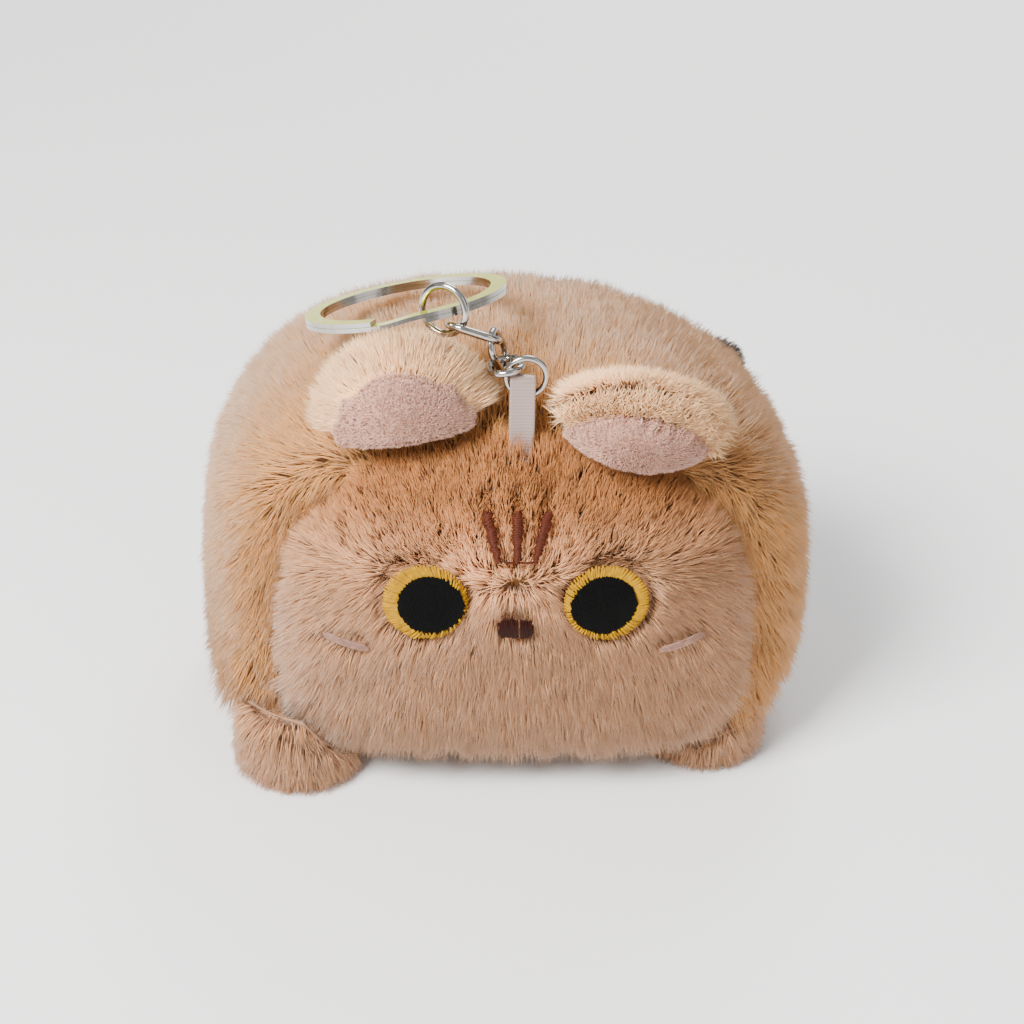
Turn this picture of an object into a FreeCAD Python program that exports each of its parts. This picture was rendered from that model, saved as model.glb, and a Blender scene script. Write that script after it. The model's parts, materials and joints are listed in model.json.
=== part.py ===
import FreeCAD, Part

import math
import os

from FreeCAD import Matrix, Placement, Rotation, Vector

# Plush keychain: a loaf-shaped sewn animal with four stub feet, two ears and a tail, and a ribbon
# loop in its top seam that holds a short chain and a split ring.
# Millimetres. +Z is up, the face looks along -Y, and "left" is the side at -X.
# The finished model is moved at the end so that its origin is the bottom centre of its box.

# --- Stuffed body ---------------------------------------------------------------------------
BODY_WIDTH = 92.5            # over the lightly pressed pile
BODY_DEPTH = 67.0
BODY_TOP = 67.0              # crown of the back above the table
BODY_BOTTOM = 5.5            # belly above the table
BODY_WAIST = 28.0            # height of the widest line
BACK_LEAN = -6.0             # the soft back end leans this far sideways
ARCH_EXPONENT = 2.4          # roundness of the arched back
BASE_EXPONENT = 5.2          # squareness of the underside
END_EXPONENT = 2.8           # how the body closes at face and rear
SKIN = 4.0                   # cloth backing and pressed pile
LOFT_STATIONS = 9
LOFT_REACH = 80.0            # last station, in degrees of a sine spacing
OUTLINE_POINTS = 20

FACE_PUFF = 6.5              # depth of the face panel in front of its seam
REAR_PUFF = 8.0
BELLY_SEAM_RISE = 7.0        # belly seam above the underside

# --- Feet -----------------------------------------------------------------------------------
FOOT_RADIUS = 10.0
FOOT_HEIGHT = 15.0
FOOT_SOLE_ROUNDING = 3.0
FOOT_TOP_ROUNDING = 5.0
# Each foot's centre, in from the body's side and from its face or rear.
FOOT_INSETS = {
    "front_left_foot": (13.0, 11.0),
    "front_right_foot": (15.5, 17.0),
    "rear_left_foot": (13.0, 16.5),
    "rear_right_foot": (17.0, 16.5),
}

# --- Ears -----------------------------------------------------------------------------------
EAR_WIDTH = 24.5
EAR_HEIGHT = 13.0
EAR_THICKNESS = 8.0
EAR_ROOT_INSET = 9.5         # behind the front of the face
EAR_ROOT_LIFT = 1.5          # root line above the crown of the seam below it
EAR_LINING_DEPTH = 1.6
EAR_BACK_RELIEF = 48.0       # underside slope that lets an ear fold back
EARS = {
    "left": {"x": -16.0, "cant": -10.0, "flop": 6.0},
    "right": {"x": 17.0, "cant": 11.0, "flop": 40.0},
}

# --- Tail -----------------------------------------------------------------------------------
TAIL_RADIUS = 4.0
TAIL_BEND_RADIUS = 30.0
TAIL_SWEEP = 80.0            # degrees of the bend, tip included
TAIL_TIP_SWEEP = 20.0
TAIL_TURN = -20.0            # the bend's plane follows the rounded rear corner
TAIL_GAP = 0.4               # between the tail and the body it lies on
TAIL_ROOT = (7.5, 20.0)      # x and z of the root on the rear

# --- Embroidery -----------------------------------------------------------------------------
STITCH_DEPTH = 0.8           # satin stitches press the pile down by this much
EYE_SPACING = 26.6
EYE_HEIGHT = 35.5
EYE_RADIUS = 6.1
PUPIL_RADIUS = 4.9
PUPIL_SHIFT = {"left": 0.9, "right": -0.4}
NOSE_SIZE = (5.4, 3.0)
NOSE_HEIGHT = 31.5
BROW_SIZE = (1.7, 7.8)
BROW_HEIGHT = 46.5
BROW_SPACING = 3.6
BROW_LEAN = 14.0
WHISKER_SIZE = (7.2, 1.2)
WHISKER_X = 25.0
WHISKER_HEIGHT = 28.0
WHISKER_LEAN = 15.0

# --- Ribbon ---------------------------------------------------------------------------------
RIBBON_WIDTH = 3.6
RIBBON_THICKNESS = 0.4
RIBBON_SLIT = 1.4            # between its two layers
RIBBON_X = 0.5
RIBBON_INSET = 8.0           # behind the front of the face
RIBBON_RISE = 9.8            # free height above the seam
RIBBON_SEWN = 3.0            # length held inside the seam
RIBBON_ROOT_GAP = 0.3
RIBBON_FREE_GAP = 1.2        # cloth pushed away around the loop's foot

# --- Chain and split ring -------------------------------------------------------------------
LINK_GAP = 0.12              # play between two hooked wires
SMALL_RING_ROOM = 3.0        # ring diameter beyond the ribbon's width
SMALL_RING_WIRE = 0.9
SMALL_RING_SHIFT = (0.5, 0.1)   # ring centre from the inner top of the ribbon's slit, x and z
LINK_WIRE = 1.05
LINK_PROPORTIONS = (8.0, 5.15)  # length and width of a link, in wires
UPPER_RING_DIAMETER = 8.0
UPPER_RING_WIRE = 1.05
# How each loop lies at rest: heading, climb and roll of its long axis, in degrees.
LOOP_TURNS = {
    "lower_ring": (0.0, 162.0, 90.0),
    "link_1": (94.0, -10.0, -10.0),
    "link_2": (241.0, 51.0, 108.0),
    "link_3": (172.0, 15.0, 28.0),
    "upper_ring": (136.0, 64.0, 106.0),
}

SPLIT_RING_DIAMETER = 30.0
SPLIT_RING_BAND = 2.3        # radial width of the flat wire
SPLIT_RING_WIRE = 0.62       # thickness of one turn
SPLIT_RING_TURN_GAP = 0.06
SPLIT_RING_HANG = -64.0      # where the upper ring holds it, degrees round the ring
SPLIT_RING_HANG_OFFSET = Vector(-0.1, -0.2, -0.3)  # band's middle from the upper ring's centre
SPLIT_RING_ROLL = -10.7      # tilt to its left
SPLIT_RING_PITCH = -13.2     # tilt to its back
RAMP_START = -106.0          # where the wire crosses from one turn to the other
RAMP_SWEEP = 30.0
RAMP_STEPS = 6

MIDLINE = Vector(0, 0, 0)
FAR = 200.0                  # longer than anything here, for cutting blocks


# --- Body outline ---------------------------------------------------------------------------

def closing(share, exponent):
    """How much of a section is left at a share of the way from the middle to an end."""
    return max(0.0, 1.0 - abs(share) ** exponent) ** (1.0 / exponent)


def power(value, exponent):
    return math.copysign(abs(value) ** exponent, value)


def lean_at(y):
    """Sideways shift of the body's middle: none at the face, most at the rear."""
    return BACK_LEAN * ((y / (BODY_DEPTH / 2) + 1) / 2) ** 2


def section_point(y, angle, inset):
    """One point of the body's outline at y, pulled in by inset."""
    share = y / (BODY_DEPTH / 2 - inset)
    arch = closing(share, END_EXPONENT)
    base = closing(share, BASE_EXPONENT)
    across = math.cos(angle)
    rise = math.sin(angle)
    exponent = ARCH_EXPONENT if rise > 0 else BASE_EXPONENT
    x = (BODY_WIDTH / 2 - inset) * arch * power(across, 2 / exponent)
    if rise > 0:
        height = (BODY_TOP - inset - BODY_WAIST) * arch
    else:
        height = (BODY_WAIST - BODY_BOTTOM - inset) * base
    z = BODY_WAIST + height * power(rise, 2 / exponent)
    return Vector(x + lean_at(y), y, z)


def body_section(y, inset):
    step = 2 * math.pi / OUTLINE_POINTS
    points = [section_point(y, (i + 0.5) * step, inset) for i in range(OUTLINE_POINTS)]
    curve = Part.BSplineCurve()
    curve.interpolate(Points=points, PeriodicFlag=True)
    return Part.Wire(curve.toShape())


def body_solid(inset):
    """The whole stuffed form, pulled in by inset all round."""
    half_depth = BODY_DEPTH / 2 - inset
    sections = []
    for i in range(LOFT_STATIONS):
        angle = math.radians(LOFT_REACH * (2 * i / (LOFT_STATIONS - 1) - 1))
        sections.append(body_section(half_depth * math.sin(angle), inset))
    return Part.makeLoft(sections, True, False)


def crown(x, y):
    """Height of the body's surface above (x, y)."""
    share = y / (BODY_DEPTH / 2)
    arch = closing(share, END_EXPONENT)
    across = (x - lean_at(y)) / (BODY_WIDTH / 2 * arch)
    return BODY_WAIST + (BODY_TOP - BODY_WAIST) * arch * closing(across, ARCH_EXPONENT)


def block(x_range, y_range, z_range):
    size = [high - low for low, high in (x_range, y_range, z_range)]
    return Part.makeBox(*size, Vector(x_range[0], y_range[0], z_range[0]))


EVERYWHERE = (-FAR, FAR)


def skin_panels(outer, core):
    """Face, rear and belly panels and the wrap panel that joins them over the back."""
    shell = outer.cut(core)
    face_seam = -BODY_DEPTH / 2 + FACE_PUFF
    rear_seam = BODY_DEPTH / 2 - REAR_PUFF
    belly_seam = BODY_BOTTOM + BELLY_SEAM_RISE
    middle = (face_seam, rear_seam)
    return {
        "face_panel": shell.common(block(EVERYWHERE, (-FAR, face_seam), EVERYWHERE)),
        "back_panel": shell.common(block(EVERYWHERE, (rear_seam, FAR), EVERYWHERE)),
        "belly_panel": shell.common(block(EVERYWHERE, middle, (-FAR, belly_seam))),
        "wrap_panel": shell.common(block(EVERYWHERE, middle, (belly_seam, FAR))),
    }


# --- Feet -----------------------------------------------------------------------------------

def foot_centre(name):
    """Where a foot stands: its name says which corner of the body it is under."""
    side_inset, end_inset = FOOT_INSETS[name]
    x = BODY_WIDTH / 2 - side_inset
    y = BODY_DEPTH / 2 - end_inset
    return (-x if "left" in name else x, -y if "front" in name else y)


def foot(centre, outer):
    """A stuffed stub: a round pad with a flat sole, sewn to the underside."""
    pad = Part.makeCylinder(FOOT_RADIUS, FOOT_HEIGHT, Vector(*centre, 0))
    sole = [edge for edge in pad.Edges if edge.BoundBox.ZMax < FOOT_HEIGHT / 2]
    pad = pad.makeFillet(FOOT_SOLE_ROUNDING, sole)
    top = [edge for edge in pad.Edges if edge.BoundBox.ZMin > FOOT_HEIGHT - FOOT_SOLE_ROUNDING]
    pad = pad.makeFillet(FOOT_TOP_ROUNDING, top)
    return largest(pad.cut(outer))


def largest(shape):
    """The main solid of a cut, without the crumbs."""
    return max(shape.Solids, key=lambda solid: solid.Volume)


# --- Ears -----------------------------------------------------------------------------------

def ear_root(side):
    x = EARS[side]["x"]
    y = EAR_ROOT_INSET - BODY_DEPTH / 2
    return Vector(x, y, crown(x, y) + EAR_ROOT_LIFT)


def ear_turn(side):
    cant = Rotation(Vector(0, 1, 0), EARS[side]["cant"])
    flop = Rotation(Vector(1, 0, 0), EARS[side]["flop"])
    return cant * flop


def ear_axis(side):
    return ear_turn(side).multVec(Vector(1, 0, 0))


def ear_parts(side):
    """The furry back of an ear and its smooth lining, standing on a straight root line."""
    scale = Matrix()
    scale.scale(EAR_WIDTH / 2, EAR_THICKNESS / 2, EAR_HEIGHT)
    pad = Part.makeSphere(1.0).transformGeometry(scale)
    slope = math.radians(EAR_BACK_RELIEF)
    under = Part.makePolygon([
        Vector(-FAR, -FAR, 0),
        Vector(-FAR, 0, 0),
        Vector(-FAR, FAR * math.cos(slope), FAR * math.sin(slope)),
        Vector(-FAR, FAR, -FAR),
        Vector(-FAR, -FAR, -FAR),
        Vector(-FAR, -FAR, 0),
    ])
    pad = pad.cut(Part.Face(under).extrude(Vector(2 * FAR, 0, 0)))
    front = block(EVERYWHERE, (-FAR, EAR_LINING_DEPTH - EAR_THICKNESS / 2), EVERYWHERE)
    place = Placement(ear_root(side), ear_turn(side))
    parts = {side + "_ear_lining": pad.common(front), side + "_ear_back": pad.cut(front)}
    for shape in parts.values():
        shape.Placement = place
    return parts


# --- Tail -----------------------------------------------------------------------------------

def tail_root():
    x, z = TAIL_ROOT
    return Vector(x, BODY_DEPTH / 2 + TAIL_GAP + TAIL_RADIUS, z)


def tail_stretch(start, end):
    """Part of the tail's round bend, between two angles up from its root."""
    centre = Vector(0, 0, TAIL_BEND_RADIUS)
    mid_circle = Part.makeCircle(TAIL_BEND_RADIUS, centre, Vector(0, -1, 0), start - 90, end - 90)
    spine = Part.Wire(mid_circle)
    first = mid_circle.valueAt(mid_circle.FirstParameter)
    heading = mid_circle.tangentAt(mid_circle.FirstParameter)
    profile = Part.Wire(Part.makeCircle(TAIL_RADIUS, first, heading))
    return spine.makePipeShell([profile], True, True), mid_circle.valueAt(mid_circle.LastParameter)


def tail_parts():
    """A stuffed tail lying round the rear corner, with a dark sewn-on tip."""
    joint_angle = TAIL_SWEEP - TAIL_TIP_SWEEP
    base, _ = tail_stretch(0, joint_angle)
    tip, end = tail_stretch(joint_angle, TAIL_SWEEP)
    base = base.fuse(Part.makeSphere(TAIL_RADIUS))
    tip = tip.fuse(Part.makeSphere(TAIL_RADIUS, end))
    rest_against = body_solid(-TAIL_GAP)
    place = Placement(tail_root(), Rotation(Vector(0, 0, 1), TAIL_TURN))
    parts = {}
    for name, shape in (("tail", base), ("tail_tip", tip)):
        shape.Placement = place
        parts[name] = largest(shape.cut(rest_against))
    return parts


# --- Embroidery -----------------------------------------------------------------------------

def disc(x, z, radius):
    """A round cutter for the face, run from in front of it into the stuffing."""
    length = BODY_DEPTH * 3 / 4
    return Part.makeCylinder(radius, length, Vector(x, -BODY_DEPTH, z), Vector(0, 1, 0))


def bar(x, z, size, lean):
    """A straight cutter for the face, leaning over by an angle."""
    width, height = size
    shape = block((-width / 2, width / 2), (-BODY_DEPTH, -BODY_DEPTH / 4), (-height / 2, height / 2))
    shape.Placement = Placement(Vector(x, 0, z), Rotation(Vector(0, 1, 0), lean))
    return shape


def embroidery(outer):
    """Satin-stitched eyes, brow stripes, nose and whiskers, let into the face's pile."""
    layer = outer.cut(body_solid(STITCH_DEPTH))
    layer = layer.common(block(EVERYWHERE, (-FAR, FACE_PUFF - BODY_DEPTH / 2), EVERYWHERE))
    cutters = {}
    for side, sign in (("left", -1), ("right", 1)):
        x = sign * EYE_SPACING / 2
        pupil = disc(x + PUPIL_SHIFT[side], EYE_HEIGHT, PUPIL_RADIUS)
        cutters[side + "_eye_pupil"] = pupil
        cutters[side + "_eye_ring"] = disc(x, EYE_HEIGHT, EYE_RADIUS).cut(pupil)
        cutters[side + "_whisker"] = bar(sign * WHISKER_X, WHISKER_HEIGHT, WHISKER_SIZE,
                                         -sign * WHISKER_LEAN)
    for name, column in (("left_brow_stripe", -1), ("middle_brow_stripe", 0), ("right_brow_stripe", 1)):
        cutters[name] = bar(column * BROW_SPACING, BROW_HEIGHT, BROW_SIZE, column * BROW_LEAN)
    cutters["nose"] = bar(0, NOSE_HEIGHT, NOSE_SIZE, 0)
    return {name: layer.common(cutter) for name, cutter in cutters.items()}


# --- Ribbon ---------------------------------------------------------------------------------

def ribbon_root():
    y = RIBBON_INSET - BODY_DEPTH / 2
    return Vector(RIBBON_X, y, crown(RIBBON_X, y) + RIBBON_ROOT_GAP)


def slab_with_round_top(half_thickness, bottom, top):
    """A flat upright slab across the ribbon's width, its top rounded over."""
    width = (-RIBBON_WIDTH / 2, RIBBON_WIDTH / 2)
    slab = block(width, (-half_thickness, half_thickness), (bottom, top - half_thickness))
    roll = Part.makeCylinder(half_thickness, RIBBON_WIDTH,
                             Vector(width[0], 0, top - half_thickness), Vector(1, 0, 0))
    return slab.fuse(roll)


def ribbon_parts():
    """The free loop, a strip folded over on itself, and its two ends held in the seam."""
    outside = RIBBON_SLIT / 2 + RIBBON_THICKNESS
    loop = slab_with_round_top(outside, 0, RIBBON_RISE)
    slit = slab_with_round_top(RIBBON_SLIT / 2, RIBBON_THICKNESS, RIBBON_RISE - RIBBON_THICKNESS)
    loop = loop.cut(slit).removeSplitter()
    loop.translate(ribbon_root())
    ends = block((-RIBBON_WIDTH / 2, RIBBON_WIDTH / 2), (-RIBBON_THICKNESS, RIBBON_THICKNESS),
                 (-RIBBON_SEWN, 0))
    ends.translate(ribbon_root() - Vector(0, 0, RIBBON_FREE_GAP + RIBBON_SLIT))
    return {"ribbon_loop": loop, "ribbon_ends": ends}


def seam_dimple():
    """Room round the foot of the ribbon loop, where the seam dips."""
    radius = RIBBON_SLIT / 2 + RIBBON_THICKNESS + RIBBON_FREE_GAP
    length = RIBBON_WIDTH + 2 * RIBBON_FREE_GAP
    return Part.makeCylinder(radius, length, ribbon_root() - Vector(length / 2, 0, 0), Vector(1, 0, 0))


# --- Chain ----------------------------------------------------------------------------------

SMALL_RING_SIZE = RIBBON_WIDTH + SMALL_RING_ROOM
LINK_SIZE = tuple(wires * LINK_WIRE for wires in LINK_PROPORTIONS)
LOOP_SIZES = {
    "lower_ring": (SMALL_RING_SIZE, SMALL_RING_SIZE, SMALL_RING_WIRE),
    "link_1": (*LINK_SIZE, LINK_WIRE),
    "link_2": (*LINK_SIZE, LINK_WIRE),
    "link_3": (*LINK_SIZE, LINK_WIRE),
    "upper_ring": (UPPER_RING_DIAMETER, UPPER_RING_DIAMETER, UPPER_RING_WIRE),
}


def loop_turn(name):
    heading, climb, roll = LOOP_TURNS[name]
    return (Rotation(Vector(0, 0, 1), heading) * Rotation(Vector(0, 1, 0), -climb)
            * Rotation(Vector(1, 0, 0), roll))


def reach(name):
    """From a loop's centre to the middle of its wire at the end of its long axis."""
    length, _, wire = LOOP_SIZES[name]
    return (length - wire) / 2


def loop_places():
    """Where each loop lies: every one hangs in the end of the one before."""
    slit_top = ribbon_root() + Vector(0, 0, RIBBON_RISE - RIBBON_THICKNESS)
    shift_x, shift_z = SMALL_RING_SHIFT
    centre = slit_top + Vector(shift_x, 0, shift_z)
    places = {}
    hook = None
    for name in LOOP_SIZES:
        turn = loop_turn(name)
        along = turn.multVec(Vector(1, 0, 0))
        wire = LOOP_SIZES[name][2]
        if hook is not None:
            hook_point, hook_wire = hook
            centre = hook_point + along * (reach(name) - (wire + hook_wire) / 2 - LINK_GAP)
        places[name] = Placement(centre, turn)
        hook = (centre + along * reach(name), wire)
    return places


def wire_loop(length, width, wire):
    """A closed loop of round wire with half-round ends, lying flat and centred."""
    end_radius = (width - wire) / 2
    straight = (length - width) / 2
    if straight < LINK_GAP:
        return Part.makeTorus(end_radius, wire / 2)
    loop = Part.makeTorus(end_radius, wire / 2, Vector(straight, 0, 0), Vector(0, 0, 1), 0, 360, 180)
    loop.rotate(Vector(straight, 0, 0), Vector(0, 0, 1), -90)
    other = loop.copy()
    other.rotate(MIDLINE, Vector(0, 0, 1), 180)
    loop = loop.fuse(other)
    for side in (-end_radius, end_radius):
        start = Vector(-straight, side, 0)
        loop = loop.fuse(Part.makeCylinder(wire / 2, 2 * straight, start, Vector(1, 0, 0)))
    return loop.removeSplitter()


def chain_parts():
    parts = {}
    for name, place in loop_places().items():
        shape = wire_loop(*LOOP_SIZES[name])
        shape.Placement = place
        parts[name] = shape
    return parts


# --- Split ring -----------------------------------------------------------------------------

def band_section(angle, height):
    """The flat wire's outline at an angle round the ring."""
    outer = SPLIT_RING_DIAMETER / 2
    inner = outer - SPLIT_RING_BAND
    half = SPLIT_RING_WIRE / 2
    corners = ((inner, -half), (outer, -half), (outer, half), (inner, half), (inner, -half))
    turn = Rotation(Vector(0, 0, 1), angle)
    return Part.makePolygon([turn.multVec(Vector(r, 0, height + z)) for r, z in corners])


def flat_turn(start, sweep, height):
    """Flat wire bent round level, over a sweep in degrees."""
    return Part.Face(band_section(start, height)).revolve(MIDLINE, Vector(0, 0, 1), sweep)


def ramp(start, low, high):
    """Flat wire crossing from one turn to the other in an easy curve."""
    stretch = None
    for i in range(RAMP_STEPS):
        shares = (i / RAMP_STEPS, (i + 1) / RAMP_STEPS)
        sections = []
        for share in shares:
            height = low + (high - low) * (1 - math.cos(math.pi * share)) / 2
            sections.append(band_section(start + RAMP_SWEEP * share, height))
        piece = Part.makeLoft(sections, True, True)
        stretch = piece if stretch is None else stretch.fuse(piece)
    return stretch


def split_ring_place():
    """The ring's tilt and centre, from the point where the upper ring holds it."""
    turn = Rotation(Vector(0, 1, 0), SPLIT_RING_ROLL) * Rotation(Vector(1, 0, 0), SPLIT_RING_PITCH)
    middle_radius = (SPLIT_RING_DIAMETER - SPLIT_RING_BAND) / 2
    angle = math.radians(SPLIT_RING_HANG)
    arm = turn.multVec(Vector(math.cos(angle), math.sin(angle), 0) * middle_radius)
    held_at = loop_places()["upper_ring"].Base + SPLIT_RING_HANG_OFFSET
    return Placement(held_at - arm, turn), held_at


def split_ring():
    """Two turns of flat wire, one on the other, with one crossing between them."""
    step = (SPLIT_RING_WIRE + SPLIT_RING_TURN_GAP) / 2
    level = 360 - RAMP_SWEEP
    first = RAMP_START + RAMP_SWEEP
    shape = flat_turn(first, level, -step)
    shape = shape.fuse(ramp(RAMP_START, -step, step))
    shape = shape.fuse(flat_turn(first, level, step))
    shape = shape.removeSplitter()
    shape.Placement = split_ring_place()[0]
    return shape


# --- Whole object ---------------------------------------------------------------------------

def plush_parts():
    outer = body_solid(0)
    core = body_solid(SKIN)
    parts = {"stuffing": core}
    stitched = embroidery(outer)
    ribbon = ribbon_parts()
    dimple = seam_dimple()
    for name, panel in skin_panels(outer, core).items():
        if name in ("face_panel", "wrap_panel"):
            panel = panel.cut(dimple)
            panel = panel.cut(ribbon["ribbon_ends"])
        if name == "face_panel":
            for piece in stitched.values():
                panel = panel.cut(piece)
        parts[name] = largest(panel)
    for name in FOOT_INSETS:
        parts[name] = foot(foot_centre(name), outer)
    parts.update(stitched)
    parts.update(ribbon)
    return parts


def all_parts():
    parts = plush_parts()
    for side in EARS:
        parts.update(ear_parts(side))
    parts.update(tail_parts())
    parts.update(chain_parts())
    parts["split_ring"] = split_ring()
    return parts


def base_centre(parts):
    """Bottom centre of the box round everything: the model's origin."""
    box = FreeCAD.BoundBox()
    for shape in parts.values():
        box.add(shape.optimalBoundingBox(False))
    return Vector(box.Center.x, box.Center.y, box.ZMin)


def main():
    parts = all_parts()
    origin = base_centre(parts)
    os.makedirs("parts", exist_ok=True)
    for name, shape in parts.items():
        shape = largest(shape)
        shape.translate(-origin)
        shape.exportStep(os.path.join("parts", name + ".step"))


if __name__ == "__main__":
    main()
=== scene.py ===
import json
import math

import bmesh
import bpy
import numpy as np
from bpy.props import FloatProperty, FloatVectorProperty, IntProperty, PointerProperty
from mathutils import Matrix, Vector
from mathutils.bvhtree import BVHTree
from mathutils.kdtree import KDTree


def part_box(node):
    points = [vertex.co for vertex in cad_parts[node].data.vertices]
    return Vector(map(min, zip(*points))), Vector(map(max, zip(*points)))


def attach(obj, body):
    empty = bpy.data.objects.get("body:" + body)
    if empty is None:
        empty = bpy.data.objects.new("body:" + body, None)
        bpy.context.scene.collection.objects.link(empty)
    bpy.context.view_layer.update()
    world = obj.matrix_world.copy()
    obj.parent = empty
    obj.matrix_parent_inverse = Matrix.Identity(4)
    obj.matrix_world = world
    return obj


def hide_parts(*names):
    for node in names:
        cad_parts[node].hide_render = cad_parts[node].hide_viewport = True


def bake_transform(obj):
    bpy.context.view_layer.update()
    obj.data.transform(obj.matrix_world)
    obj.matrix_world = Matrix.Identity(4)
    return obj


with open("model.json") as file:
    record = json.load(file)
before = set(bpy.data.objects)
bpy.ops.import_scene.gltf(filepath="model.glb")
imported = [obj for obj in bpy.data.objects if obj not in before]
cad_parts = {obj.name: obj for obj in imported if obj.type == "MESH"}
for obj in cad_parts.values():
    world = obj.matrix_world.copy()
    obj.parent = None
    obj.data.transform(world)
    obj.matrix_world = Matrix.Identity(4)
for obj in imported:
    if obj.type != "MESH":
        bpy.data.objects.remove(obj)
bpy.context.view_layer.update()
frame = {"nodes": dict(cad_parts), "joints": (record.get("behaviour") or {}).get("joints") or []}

bl_info = {
    "name": "Plush keychain",
    "version": (1, 0, 0),
    "blender": (4, 5, 0),
    "location": "View3D > Sidebar > Plush",
    "description": "Builds a furry loaf-shaped plush with a ribbon, a short chain and a split ring",
    "category": "Add Mesh",
}

MM = 0.001
JOINTS = {joint["name"]: joint for joint in frame["joints"]}
PANELS = ("face_panel", "wrap_panel", "back_panel", "belly_panel")
FEET = ("front_left_foot", "front_right_foot", "rear_left_foot", "rear_right_foot")
METAL = ("lower_ring", "link_1", "link_2", "link_3", "upper_ring")


def node_box(*nodes):
    """Lowest and highest corners round several CAD nodes."""
    boxes = [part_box(node) for node in nodes]
    low = Vector([min(b[0][i] for b in boxes) for i in range(3)])
    high = Vector([max(b[1][i] for b in boxes) for i in range(3)])
    return low, high


def node_centre(*nodes):
    low, high = node_box(*nodes)
    return (low + high) / 2


# How far the fur stays above the floor.
FLOOR_GAP = 0.15 * MM
# A weight that is as good as nothing, where no strand is wanted.
SELDOM = 1e-9
# Pressure of the filling on the cloth, and the frames the cloth takes to settle.
FILLING_PRESSURE = 4.0
SETTLING_FRAMES = 20

# Landmarks taken from the frame.
BODY_LOW, BODY_HIGH = node_box(*PANELS)
BODY_CENTRE = (BODY_LOW + BODY_HIGH) / 2
FACE_X = node_centre("left_eye_ring", "right_eye_ring").x
# The backing lies inside the pressed pile, so its seams are further from the ends than the panels' edges.
SEAM_SET_IN = 4.6 * MM
FACE_SEAM_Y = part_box("face_panel")[1].y + SEAM_SET_IN
REAR_SEAM_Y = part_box("back_panel")[0].y - SEAM_SET_IN
EYE_Z = node_centre("left_eye_ring").z
NOSE_Z = node_centre("nose").z
RIBBON_ROOT = Vector(JOINTS["ribbon_flop"]["pos_m"])


# --- Settings -------------------------------------------------------------------------------

def length(name, description, default):
    return FloatProperty(name=name, description=description, default=default, subtype="DISTANCE",
                         unit="LENGTH")


def colour(name, description, default):
    return FloatVectorProperty(name=name, description=description, default=default, subtype="COLOR",
                               size=3, min=0.0, max=1.0)


class PlushSizes(bpy.types.PropertyGroup):
    backing_depth: length("Backing depth", "Cloth backing below the pressed pile", 3.4 * MM)
    body_pile: length("Body pile", "Length of the fur on the body", 6.2 * MM)
    face_pile: length("Face pile", "Length of the fur on the face", 5.6 * MM)
    ear_pile: length("Ear pile", "Length of the fur on the ears", 5.2 * MM)
    foot_pile: length("Foot pile", "Length of the fur on the feet", 4.9 * MM)
    strand_width: length("Strand width", "Half width of a strand of fur at its bend", 0.1 * MM)
    tuft_spacing: length("Tuft spacing", "Distance between tufts that lie together", 1.6 * MM)
    seam_depth: length("Seam depth", "How far a seam pulls the skin in", 3.0 * MM)
    thread_radius: length("Thread radius", "Half thickness of the embroidery thread", 0.17 * MM)
    ribbon_thickness: length("Ribbon thickness", "Thickness of the satin ribbon", 0.34 * MM)
    strands: IntProperty(name="Strands", description="Density of the fur: each area grows its share of this",
                         default=250000, min=1000)


class PlushColours(bpy.types.PropertyGroup):
    forehead: colour("Forehead", "Fur on the forehead", (0.42, 0.165, 0.047))
    cheek: colour("Cheek", "Fur on the cheeks and chin", (0.58, 0.295, 0.145))
    crown: colour("Crown", "Fur on the back and sides", (0.63, 0.29, 0.085))
    ear: colour("Ear", "Fur on the ears", (0.91, 0.55, 0.285))
    tail_tip: colour("Tail tip", "Dark fur on the end of the tail", (0.045, 0.04, 0.04))
    velour: colour("Velour", "Smooth lining of the ears", (0.62, 0.35, 0.26))
    yellow: colour("Yellow thread", "Rim of the eyes", (0.37, 0.185, 0.0))
    black: colour("Black thread", "Pupils", (0.0003, 0.0003, 0.0003))
    rust: colour("Rust thread", "Brow stripes", (0.065, 0.013, 0.005))
    brown: colour("Brown thread", "Nose", (0.018, 0.003, 0.001))
    mauve: colour("Mauve thread", "Whisker bars", (0.24, 0.13, 0.095))
    ribbon: colour("Ribbon", "Satin ribbon", (0.28, 0.205, 0.18))
    nickel: colour("Nickel", "Chain and ring plating", (0.42, 0.395, 0.37))
    pale_gold: colour("Pale gold", "Flat faces of the split ring", (0.66, 0.66, 0.02))


def sizes():
    return bpy.context.scene.plush_sizes


def colours():
    return bpy.context.scene.plush_colours


# --- Mesh helpers ---------------------------------------------------------------------------

def deselect():
    if bpy.context.object and bpy.context.object.mode != "OBJECT":
        bpy.ops.object.mode_set(mode="OBJECT")
    bpy.ops.object.select_all(action="DESELECT")


def activate(piece):
    deselect()
    piece.select_set(True)
    bpy.context.view_layer.objects.active = piece


def named(name):
    """The object that was just added, under its own name."""
    piece = bpy.context.object
    piece.name = name
    piece.data.name = name
    return piece


def points_of(piece):
    data = np.zeros(len(piece.data.vertices) * 3)
    piece.data.vertices.foreach_get("co", data)
    return data.reshape(-1, 3)


def set_points(piece, points):
    piece.data.vertices.foreach_set("co", np.ascontiguousarray(points, dtype=np.float32).ravel())
    piece.data.update()


def normals_of(piece):
    data = np.zeros(len(piece.data.vertices) * 3)
    piece.data.vertices.foreach_get("normal", data)
    return data.reshape(-1, 3)


def unit(vectors):
    return vectors / np.maximum(np.linalg.norm(vectors, axis=-1, keepdims=True), 1e-12)


def smooth_step(value, low, high):
    share = np.clip((value - low) / (high - low), 0.0, 1.0)
    return share * share * (3.0 - 2.0 * share)


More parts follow.
